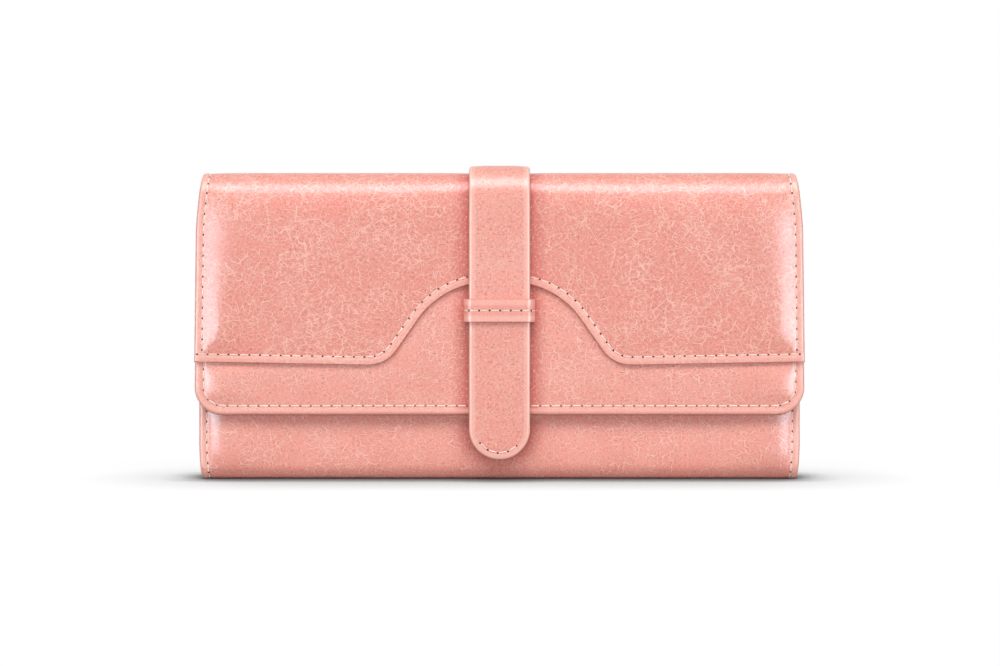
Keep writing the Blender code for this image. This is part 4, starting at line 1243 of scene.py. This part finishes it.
across = [share * mm for share in (-0.8, -0.4, -0.2, 0.0, 0.2, 0.4, 0.8)]
second = keeper_track.length - leg - KEEPER_BEND * RIGHT
keeper_path = band(-1.0, 1.0)
make_sheet(
    "keeper_band",
    band(-STRAP_PAST, keeper_track.length + STRAP_PAST),
    (across, bend_cuts(leg, KEEPER_BEND) + bend_cuts(second, KEEPER_BEND)),
    (0.0, keeper_track.length),
    (keeper_face, plain_back(KEEPER_THICK, 0.3 * mm)),
    round_strap,
    (keeper_leather, "strap_leather"),
    "flap",
    ["keeper"],
    KEEPER_RINGS,
    keeper_path,
)
rows = [[(0.0, 1.2 * mm), (0.0, keeper_track.length - 1.2 * mm)]]
sew("keeper", rows, keeper_face, keeper_path, round_strap, "flap", "strap_leather")

# %% [markdown]
# ## Linings
# The lining is one run of woven cloth inside the cover: down the flap, under the top, down the
# back, over the base and up the front. Like the cover it is cut where the bodies meet, and it is
# sewn in with the same rows, so the stitches show on this side as well.

# %% Linings
LINING = 0.5 * mm
LINING_GAP = 1.15 * mm
LINING_SEW = STITCH_INSET - LINING_GAP
LINING_BEND = 5.8 * mm
LINING_LOW_BEND = 3.5 * mm
LINING_RINGS = [0.1, 0.2, 0.6, 1.0, 1.4, 1.8, 2.4]
lining_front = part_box("flap_lining")[0].y
lining_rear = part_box("back_lining")[1].y
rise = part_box("top_lining")[1].z - LINING_BEND
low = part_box("back_lining")[0].z + LINING_LOW_BEND
lining_runs = [
    (rise, LINING_BEND),
    (lining_rear - lining_front - 2 * LINING_BEND, LINING_BEND),
    (rise - low, LINING_LOW_BEND),
    (lining_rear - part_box("front_lining")[0].y - 2 * LINING_LOW_BEND, LINING_LOW_BEND),
    (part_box("front_lining")[1].z - low, 0.0),
]
lining_track = Track((lining_front, 0.0), lining_runs)


def knots(runs):
    """Lengths along a line at which its straights and its bends end."""
    found = [0.0]
    for straight, radius in runs:
        found += [found[-1] + straight, found[-1] + straight + radius * RIGHT]
    return found


lining_knots = knots(lining_runs)
LINING_MID_TOP = rise + LINING_BEND * RIGHT + lining_runs[1][0] / 2
LINING_BACK, LINING_BASE = lining_knots[4:6]
LINING_MID_BASE = (lining_knots[6] + lining_knots[7]) / 2
LINING_FRONT = lining_knots[8]
LINING_END = lining_track.length


def lining_half(v, inset=0.0):
    """Half of the lining's width, inside the cover's rims."""
    return half_width(float(np.interp(v, lining_knots, knots(COVER_RUNS)))) - LINING_GAP - inset


def lining_side(places, inset=0.0):
    """Right edge of a lining at some places along its line."""
    return [(lining_half(v, inset), v) for v in places]


def lining_back(away, points):
    """Visible face of the lining: slightly slack, drawn down by its stitches."""
    drawn = 0.12 * mm * bell(away, 1.4 * mm, 0.4 * mm)
    slack = 0.08 * mm * uneven(points, 18 * mm, 9.0) * smooth(2 * mm, 8 * mm, away)
    return -LINING - rolled(away, 0.2 * mm) + drawn - slack


def line_with(name, edge, along, seams, hinge, nodes, rows):
    """One length of lining with its rows of stitches on the inner side."""
    grid = (steps(-HALF, HALF, 5 * mm), along)
    faces = (plain_back(0.0), lining_back)
    look = (lining_cloth, "lining_cloth")
    make_sheet(name, edge, grid, seams, faces, lining_track.lay, look, hinge, nodes, LINING_RINGS)
    sew(name, rows, lining_back, edge, lining_track.lay, hinge, "lining_cloth", side=-1)


# %% Lining of the flap
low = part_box("flap_lining")[0].z
corner = FLAP_CORNER - LINING_GAP
centre = (lining_half(low + corner) - corner, low + corner)
pull = steps(BEND_Z - 12 * mm, LINING_MID_TOP + 2 * mm, 3 * mm)[::-1]
edge = mirrored(lining_side([LINING_MID_TOP + PAST] + pull) + arc(centre, corner, 0, -RIGHT, 12))
row = lining_side([LINING_MID_TOP] + pull[1:], LINING_SEW)
row += arc(centre, corner - LINING_SEW, 0, -RIGHT, 12)
along = steps(low, rise, 6 * mm) + bend_cuts(rise, LINING_BEND)
nodes = ["flap_lining", "top_lining"]
line_with("lining_flap", edge, along, (None, LINING_MID_TOP), FLAP_HINGE, nodes, [mirrored(row)])

# %% Lining of the back and the base
places = steps(LINING_MID_TOP, LINING_BACK + 12 * mm, 3 * mm)
places += steps(LINING_BASE - 6 * mm, LINING_MID_BASE, 3 * mm)
edge = mirrored(lining_side([LINING_MID_TOP - PAST] + places + [LINING_MID_BASE + PAST]))
along = bend_cuts(lining_knots[3], LINING_BEND) + steps(LINING_BACK, LINING_BASE, 6 * mm)
along += bend_cuts(LINING_BASE, LINING_LOW_BEND)
rows = both_sides(lining_side(places, LINING_SEW))
seams = (LINING_MID_TOP, LINING_MID_BASE)
line_with("lining_rear", edge, along, seams, REAR_HINGE, ["back_lining"], rows)

# %% Lining of the front
places = steps(LINING_MID_BASE, LINING_FRONT + 6 * mm, 3 * mm)
edge = mirrored(lining_side([LINING_MID_BASE - PAST] + places + [LINING_END]))
along = bend_cuts(lining_knots[7], LINING_LOW_BEND) + steps(LINING_FRONT, LINING_END, 6 * mm)[:-1]
rows = [mirrored(lining_side(places + [LINING_END - LINING_SEW], LINING_SEW))]
line_with("lining_front", edge, along, (LINING_MID_BASE, None), BASE_HINGE, ["front_lining"], rows)

# %% [markdown]
# ## Slip pocket, card slots
# The flap holds a cloth slip pocket, and the back three rows of card slots, each lower and nearer
# than the one behind it. A slot is a thin leather with a thumb notch over each card, its top edge
# turned and sewn, and one row down the middle parts the two columns.

# %% Slip pocket
HEM = 5 * mm
POCKET_CORNER = 7.4 * mm
pocket_low, pocket_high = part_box("flap_pocket")
hem_low = pocket_high.z - HEM
pocket_track = upright(pocket_low.y)
centre = (pocket_high.x - POCKET_CORNER, pocket_low.z + POCKET_CORNER)
corners = [(pocket_high.x, pocket_high.z)] + arc(centre, POCKET_CORNER, 0, -RIGHT, 12)
pocket_edge = mirrored(corners)
pocket_path = pocket_edge + pocket_edge[:1]


def slip_back(away, points):
    """Visible face of the slip pocket, with a sewn hem along its top."""
    hem = smooth(hem_low - 0.6 * mm, hem_low, points[:, 1])
    slack = 0.1 * mm * uneven(points, 20 * mm, 2.0) * smooth(2 * mm, 9 * mm, away)
    return -0.35 * mm - rolled(away, 0.2 * mm) - 0.15 * mm * hem - slack


along = steps(pocket_low.z, hem_low - 1 * mm, 6 * mm)[1:]
along += [hem_low - 0.6 * mm, hem_low - 0.3 * mm, hem_low]
make_sheet(
    "slip_pocket",
    pocket_edge,
    (steps(-HALF, HALF, 6 * mm), along),
    (None, None),
    (plain_back(0.0), slip_back),
    pocket_track.lay,
    (pocket_cloth, "lining_cloth"),
    "flap",
    ["flap_pocket"],
    [0.1, 0.2, 0.8, 1.6, 2.4],
    pocket_path,
)
rows = [[(pocket_high.x - 1 * mm, hem_low + 1 * mm), (1 * mm - pocket_high.x, hem_low + 1 * mm)]]
look = {"slot": "lining_cloth", "side": -1}
sew("slip_pocket", rows, slip_back, pocket_path, pocket_track.lay, "flap", **look)

# %% Card slots
NOTCH_RADIUS = 12 * mm
NOTCH_DEPTH = 3 * mm
SLOT_LEATHER = 0.5 * mm
SLOT_RINGS = [0.1, 0.22, 1.0, 1.7, 2.0, 2.3]
SLOT_LOOK = (slot_leather, "slot_leather")


def notched(width, height):
    """Top edge of a card slot from right to left, with a thumb notch over each column."""
    half = math.acos(1 - NOTCH_DEPTH / NOTCH_RADIUS)
    points = [(width / 2, height)]
    for middle in (width / 4, -width / 4):
        centre = (middle, height + NOTCH_RADIUS - NOTCH_DEPTH)
        points += arc(centre, NOTCH_RADIUS, -RIGHT + half, -RIGHT - half, 12)
    return points + [(-width / 2, height)]


def slot_face(away, points):
    """Visible face of a card slot: a turned edge with a crease set in under it."""
    return rolled(away, 0.22 * mm) - 0.1 * mm * bell(away, 2.0 * mm, 0.3 * mm) + 0.02 * mm


for number in (1, 2, 3):
    low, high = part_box(f"card_slot_{number}")
    width = high.x - low.x
    top_edge = notched(width, high.z)
    across = steps(-width / 2, width / 2, 8 * mm)[1:-1]
    along = steps(low.z, high.z - NOTCH_DEPTH, 8 * mm)[1:-1]
    slot_track = upright(low.y)
    make_sheet(
        f"slot_{number}",
        top_edge + [(-width / 2, low.z), (width / 2, low.z)],
        (across, along),
        (None, None),
        (slot_face, plain_back(SLOT_LEATHER)),
        slot_track.lay,
        SLOT_LOOK,
        "root",
        [f"card_slot_{number}"],
        SLOT_RINGS,
        top_edge,
    )
    middle_low = low.z if number == 3 else high.z - 10 * mm
    rows = [inset_path(top_edge, 2.0 * mm), [(0.0, high.z - 2 * mm), (0.0, middle_low)]]
    look = {"slot": "slot_leather", "pitch": 2.6 * mm}
    sew(f"slot_{number}", rows, slot_face, top_edge, slot_track.lay, "root", **look)

# %% [markdown]
# ## Side walls
# Each side wall is a thin leather folded inwards once for each room, like a fan, and is given the
# hinge between the base and the front. Its line is drawn from above and pulled up in one piece, and
# the leather is a little slack towards the mouth.

# %% Side walls
GUSSET_LEATHER = 0.4 * mm
GUSSET_FOLDS = 24
GUSSET_ROWS = 14
FOLD_DEPTH = 4.6 * mm
gusset_low, gusset_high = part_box("gusset_right")
gusset_tall = gusset_high.z - gusset_low.z
coin_low, coin_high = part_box("coin_pocket")
FAN_HINGE = ("root", "front", (0, gusset_high.y, gusset_low.z), (0, gusset_low.y, gusset_low.z))


def folded_line():
    """Plan of the right side wall, from the back to the front."""
    outer = gusset_high.x - GUSSET_LEATHER / 2
    inner = coin_high.x + 0.5 * mm
    ends = [
        ((outer, gusset_high.y - 0.2 * mm), (inner, coin_high.y + 0.5 * mm)),
        ((inner, coin_low.y - 0.5 * mm), (outer, gusset_low.y + 0.2 * mm)),
    ]
    points = []
    for (x, y), (x2, y2) in ends:
        for share in steps(0, 1, 1 / GUSSET_FOLDS):
            dip = FOLD_DEPTH * math.sin(math.pi * share)
            points.append((x + (x2 - x) * share - dip, y + (y2 - y) * share))
    return points


def side_wall(side):
    """One side wall, as a bmesh."""
    shape = bmesh.new()
    verts = [shape.verts.new((x, y, gusset_low.z)) for x, y in folded_line()]
    edges = [shape.edges.new(pair) for pair in zip(verts, verts[1:])]
    for _ in range(GUSSET_ROWS):
        grown = bmesh.ops.extrude_edge_only(shape, edges=edges)["geom"]
        edges = [item for item in grown if isinstance(item, bmesh.types.BMEdge)]
        moved = [item for item in grown if isinstance(item, bmesh.types.BMVert)]
        bmesh.ops.translate(shape, verts=moved, vec=(0, 0, gusset_tall / GUSSET_ROWS))
    shape.normal_update()
    for vert in shape.verts:
        up = (vert.co.z - gusset_low.z) / gusset_tall
        spot = Vector((vert.co.y / (5 * mm), vert.co.z / (22 * mm), side * 4.0))
        vert.co.x += 0.35 * mm * noise.noise(spot) * up
    bmesh.ops.solidify(shape, geom=shape.faces[:], thickness=GUSSET_LEATHER)
    flat = shape.verts.layers.float_vector.new("flat")
    for vert in shape.verts:
        vert[flat] = (1.5 * vert.co.y, vert.co.z, 0)
    if side < 0:
        bmesh.ops.scale(shape, verts=shape.verts[:], vec=(-1, 1, 1))
    return shape


for name, side in (("left", -1), ("right", 1)):
    as_piece(f"side_wall_{name}", side_wall(side), *SLOT_LOOK, FAN_HINGE, [f"gusset_{name}"])

# %% [markdown]
# ## Coin pocket
# The coin pocket is a folded cloth bag that stands between the two rooms. It is pulled out along
# its length from its upright section, hollowed from the top, and its ends are rounded over.

# %% Coin pocket
POCKET_WALL = 0.5 * mm
POCKET_ROUND = 1.8 * mm
pocket_mid = (coin_low.y + coin_high.y) / 2
half_deep = (coin_high.y - coin_low.y) / 2


def drawn_out(shape, faces, offset):
    """Pull faces out by an offset; gives the faces at the new end."""
    grown = bmesh.ops.extrude_face_region(shape, geom=faces)["geom"]
    moved = [item for item in grown if isinstance(item, bmesh.types.BMVert)]
    bmesh.ops.translate(shape, verts=moved, vec=offset)
    return [item for item in grown if isinstance(item, bmesh.types.BMFace)]


def ease(shape, edges, width, segments, **settings):
    """Round some edges."""
    settings.update({"profile": 0.5, "affect": "EDGES", "material": -1})
    bmesh.ops.bevel(shape, geom=edges, offset=width, segments=segments, **settings)


def bulged(x, y, z):
    """Depth of the bag's wall at a place, where coins have stretched it a little."""
    up = (z - coin_low.z) / (coin_high.z - coin_low.z)
    middle = 1 - (x / coin_high.x) ** 4
    belly = 0.35 * mm * math.sin(math.pi * min(1, max(0, up))) * middle
    spot = Vector((x / (16 * mm), 0, z / (16 * mm)))
    belly += 0.15 * mm * noise.noise(spot) * middle * (1 - up)
    return y + math.copysign(belly, y - pocket_mid)


def coin_bag():
    """The bag, as a bmesh."""
    shape = bmesh.new()
    section = arc((pocket_mid, coin_low.z + half_deep), half_deep, 2 * RIGHT, 4 * RIGHT, 12)
    section += [(coin_high.y, coin_high.z), (coin_low.y, coin_high.z)]
    face = shape.faces.new([shape.verts.new((coin_low.x, y, z)) for y, z in section])
    drawn_out(shape, [face], (coin_high.x - coin_low.x, 0, 0))
    middles = [(edge, (edge.verts[0].co + edge.verts[1].co) / 2) for edge in shape.edges]
    low_edges = [(edge, at) for edge, at in middles if at.z < coin_high.z - 0.1 * mm]
    ends = [edge for edge, at in low_edges if abs(abs(at.x) - coin_high.x) < mm]
    ease(shape, ends, POCKET_ROUND, 4)
    for x in steps(coin_low.x, coin_high.x, 6 * mm)[1:-1]:
        cut(shape, (x, 0, 0), (1, 0, 0))
    for z in steps(coin_low.z, coin_high.z, 6 * mm)[1:-1]:
        cut(shape, (0, 0, z), (0, 0, 1))
    mouth = [f for f in shape.faces if f.calc_center_median().z > coin_high.z - 0.05 * mm]
    bmesh.ops.inset_region(shape, faces=mouth, thickness=POCKET_WALL, use_even_offset=True)
    for depth in (4 * mm, 30 * mm, 26 * mm):
        above = mouth
        mouth = drawn_out(shape, above, (0, 0, -depth))
        bmesh.ops.delete(shape, geom=[f for f in above if f.is_valid], context="FACES")
    for vert in shape.verts:
        vert.co.y = bulged(*vert.co)
    return shape


as_piece("coin_bag", coin_bag(), pocket_cloth, "lining_cloth", "pocket", ["coin_pocket"])

# %% [markdown]
# ## Zip
# The tapes are woven bands turned in over the bag's mouth. Their teeth are small metal blocks
# that grip a cord at the tape's edge, one every two millimetres on each side and set half a step
# apart. The slider, its pull and the stops keep the solids' shapes, with their edges eased.

# %% Zip tapes
TAPE = 0.5 * mm
TAPE_BEND = 0.9 * mm
TAPE_LEG = 3.5 * mm
TEETH_GAP = 2.0 * mm


def tape_face(away, points):
    """Outer face of a tape, with a bead along its edge."""
    return 0.1 * mm * bell(away, 0.4 * mm, 0.3 * mm) - 0.1 * mm


def make_tape(name, side):
    """One tape, from its leg on the bag to its edge along the teeth."""
    low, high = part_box(f"zip_row_{name}")
    outer = high.y if side > 0 else low.y
    leg = TAPE_LEG - TAPE_BEND
    reach = abs(outer - pocket_mid) - TEETH_GAP - TAPE_BEND
    track = Track((0.0, low.z), [(leg, TAPE_BEND), (reach, 0.0)])

    def lay(shape):
        """Lay the tape with its leg on the bag's outer side."""
        for vert in shape.verts:
            y, z = track.place(vert.co.y, vert.co.z)
            vert.co.y, vert.co.z = outer - side * y, z

    end = track.length
    make_sheet(
        f"zip_tape_{name}",
        [(high.x, -PAST), (high.x, end), (-high.x, end), (-high.x, -PAST)],
        (steps(-high.x, high.x, 6 * mm)[1:-1], bend_cuts(leg, TAPE_BEND)[::2]),
        (0.0, None),
        (tape_face, plain_back(TAPE)),
        lay,
        (tape_cloth, "zip_tape"),
        "pocket",
        [f"zip_row_{name}"],
        [0.1, 0.3, 0.6],
    )


make_tape("rear", 1)
make_tape("front", -1)

# %% Zip teeth
TOOTH_PITCH = 2.0 * mm
TOOTH_TALL = 1.2 * mm
TOOTH_Y = 1.65 * mm
CHAIN_HALF = 80 * mm
METAL = (plated_metal, "snap_metal")


def tooth_mesh():
    """One tooth that points along -y: a block whose head is wider than its neck."""
    shape = bmesh.new()
    plan = [(-0.55, -0.75), (0.55, -0.75), (0.4, 0.0), (0.4, 0.75), (-0.4, 0.75), (-0.4, 0.0)]
    face = shape.faces.new([shape.verts.new((x * mm, y * mm, -TOOTH_TALL / 2)) for x, y in plan])
    drawn_out(shape, [face], (0, 0, TOOTH_TALL))
    top = [e for e in shape.edges if abs(e.verts[0].co.z - e.verts[1].co.z) < mm / 100]
    ease(shape, top, 0.16 * mm, 1)
    return to_mesh("tooth", shape)


one_tooth = tooth_mesh()
tooth_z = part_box("zip_row_rear")[1].z - TAPE / 2
for name, side, shift in (("rear", 1, 0.0), ("front", -1, 0.5)):
    chain = bmesh.new()
    for number in range(round(2 * CHAIN_HALF / TOOTH_PITCH)):
        x = -CHAIN_HALF + (number + shift) * TOOTH_PITCH
        place = Matrix.Translation((x, pocket_mid + side * TOOTH_Y, tooth_z))
        if side < 0:
            place = place @ Matrix.Rotation(2 * RIGHT, 4, "Z")
        stamp(chain, one_tooth, place)
    as_piece(f"zip_teeth_{name}", chain, *METAL, "pocket")
bpy.data.meshes.remove(one_tooth)


# %% Metal parts with eased edges
def eased(node, body, width):
    """A copy of a rigid node, merged, with its sharp edges rounded."""
    shape = bmesh.new()
    shape.from_mesh(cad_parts[node].data)
    bmesh.ops.remove_doubles(shape, verts=shape.verts[:], dist=0.002 * mm)
    flat = {"angle_limit": math.radians(2), "verts": shape.verts[:], "edges": shape.edges[:]}
    bmesh.ops.dissolve_limit(shape, **flat)
    paired = [e for e in shape.edges if len(e.link_faces) == 2]
    sharp = [e for e in paired if e.calc_face_angle() > math.radians(35)]
    ease(shape, sharp, width, 2, clamp_overlap=True)
    as_piece(node + "_metal", shape, *METAL, body, [node])


for node, body, width in (
    ("zip_slider", "slider", 0.12),
    ("zip_pull", "pull", 0.2),
    ("zip_stop_start", "pocket", 0.1),
    ("zip_stop_end", "pocket", 0.1),
    ("snap_socket", "front", 0.2),
    ("snap_stud", "tip", 0.2),
):
    eased(node, body, width * mm)

# %% [markdown]
# ## Boards
# The three boards are hidden between leather and lining. Their solids are right as they are, and
# only take a felted fibre finish.

# %% Boards
for node in ("back_board", "front_board", "flap_board"):
    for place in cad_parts[node].material_slots:
        place.material = board_fibre

# %% [markdown]
# ## Camera
# The lens stands level with the middle of the wallet and looks straight at its front, far enough
# away that its sides stay hidden.

# %% Camera
CAMERA_PLACE = (0.16 * mm, -0.64, 47.3 * mm)
camera = bpy.data.cameras.new("camera")
camera.sensor_width = 36.0
camera.lens = 69.9
view = put("camera", camera)
view.location = CAMERA_PLACE
view.rotation_euler = (RIGHT, 0, 0)
bpy.context.scene.camera = view

# %% [markdown]
# ## Floor and room
# The wallet stands on a white sweep in a white room. For the camera the floor is raised to white
# away from the wallet. Near it, a little of it is lit like the rest, and most of it is a painted
# shadow: a glow dimmed by how much of the sky it sees, with a wide measure for the soft shadow
# and a narrow one for the dark line of contact.
# The room is white to look at, and gives only a faint light.

# %% Floor
NEAR, FAR = 0.14, 0.45
SKY_REACH, PINCH_REACH = 0.05, 0.015
PINCH_POWER = 3.2
CONTACT_LIGHT = 1.05
CONTACT_SHARE = 0.85


def seen_rays(tree):
    """1 for what the camera sees, also in gloss and through glass, and 0 for stray light."""
    path = add(tree, "LightPath").outputs
    seen = maths(tree, "MAXIMUM", path["Is Camera Ray"], path["Is Glossy Ray"])
    return maths(tree, "MAXIMUM", seen, path["Is Transmission Ray"])


def shader_mix(tree, share, first, second):
    """Mix two shaders."""
    return add(tree, "MixShader", {0: share, 1: first, 2: second}).outputs[0]


def open_share(tree, reach):
    """How much of the sky a place sees within a reach."""
    return add(tree, "AmbientOcclusion", {"Distance": reach}, samples=8).outputs["AO"]


floor_finish, tree, shader = new_finish("white_floor")
tree.nodes.remove(shader)
away = add(tree, "VectorMath", {0: object_place(tree)}, operation="LENGTH").outputs["Value"]
plain = add(tree, "BsdfDiffuse", {"Color": (0.5, 0.5, 0.5, 1)}).outputs[0]
lit = add(tree, "BsdfDiffuse", {"Color": (1, 1, 1, 1)}).outputs[0]
white = add(tree, "Emission", {"Color": (1, 1, 1, 1), "Strength": 1.0}).outputs[0]
# Painted shadow: near the wallet the floor is a glow whose strength falls where the wallet hides the
# sky.
pinch = maths(tree, "POWER", open_share(tree, PINCH_REACH), PINCH_POWER)
contact = product(tree, open_share(tree, SKY_REACH), pinch, CONTACT_LIGHT)
contact = add(tree, "Emission", {"Strength": contact}).outputs[0]
near = shader_mix(tree, CONTACT_SHARE, lit, contact)
raised = shader_mix(tree, ramp(tree, away, NEAR, FAR), near, white)
both = shader_mix(tree, seen_rays(tree), plain, raised)
feed(tree, tree.nodes["Material Output"], {"Surface": both})
shape = bmesh.new()
bmesh.ops.create_grid(shape, x_segments=1, y_segments=1, size=6.0)
mesh = to_mesh("floor", shape)
mesh.materials.append(floor_finish)
floor = put("floor", mesh)

# %% World
world = bpy.data.worlds.new("white_room")
bpy.context.scene.world = world
world.use_nodes = True
tree = world.node_tree
strength = ramp(tree, seen_rays(tree), 0.0, 1.0, 0.15, 1.0)
feed(tree, tree.nodes["Background"], {"Color": (1, 1, 1, 1), "Strength": strength})

# %% [markdown]
# ## Lamps
# Three soft lamps give the light, and aren't seen in gloss: a long one over the front, a low one
# before it and one behind. Three bands give only gloss, slightly cool: a long one for the bright
# line along the top, and one at each side for the lines along the ends. The side bands lie wholly
# below the level of the top, so that the top doesn't burn out when it is seen from behind.

# %% Lamps
COOL = (0.8, 1.0, 1.12)
AIM = Vector((0, 0, 0.05))


def soft_lamp(name, place, size, radiance, lights):
    """An area lamp of one radiance, aimed at the wallet, either for its light or for its gloss."""
    lamp = bpy.data.lights.new(name, "AREA")
    lamp.shape = "RECTANGLE"
    lamp.size, lamp.size_y = size
    lamp.energy = math.pi * size[0] * size[1] * radiance
    lamp.color = (1, 1, 1) if lights else COOL
    holder = put(name, lamp)
    holder.location = place
    holder.visible_diffuse = lights
    holder.visible_glossy = not lights
    holder.rotation_euler = (AIM - Vector(place)).to_track_quat("-Z", "Y").to_euler()


soft_lamp("lamp_over", (0, -1.18, 1.36), (3.0, 0.84), 4.0, lights=True)
soft_lamp("lamp_front", (0, -1.1, 0.06), (1.6, 0.4), 2.95, lights=True)
soft_lamp("lamp_behind", (0, 1.1, 0.30), (1.6, 0.5), 3.0, lights=True)
soft_lamp("band_over", (0, -0.49, 0.81), (1.5, 0.43), 7.5, lights=False)
soft_lamp("band_left", (-0.60, -0.66, 0.03), (0.30, 0.14), 50.0, lights=False)
soft_lamp("band_right", (0.60, -0.66, 0.03), (0.30, 0.14), 45.0, lights=False)

# %% [markdown]
# ## Close
# The colours are shown plainly, without a film curve.

# %% View transform
bpy.context.scene.view_settings.view_transform = "Standard"
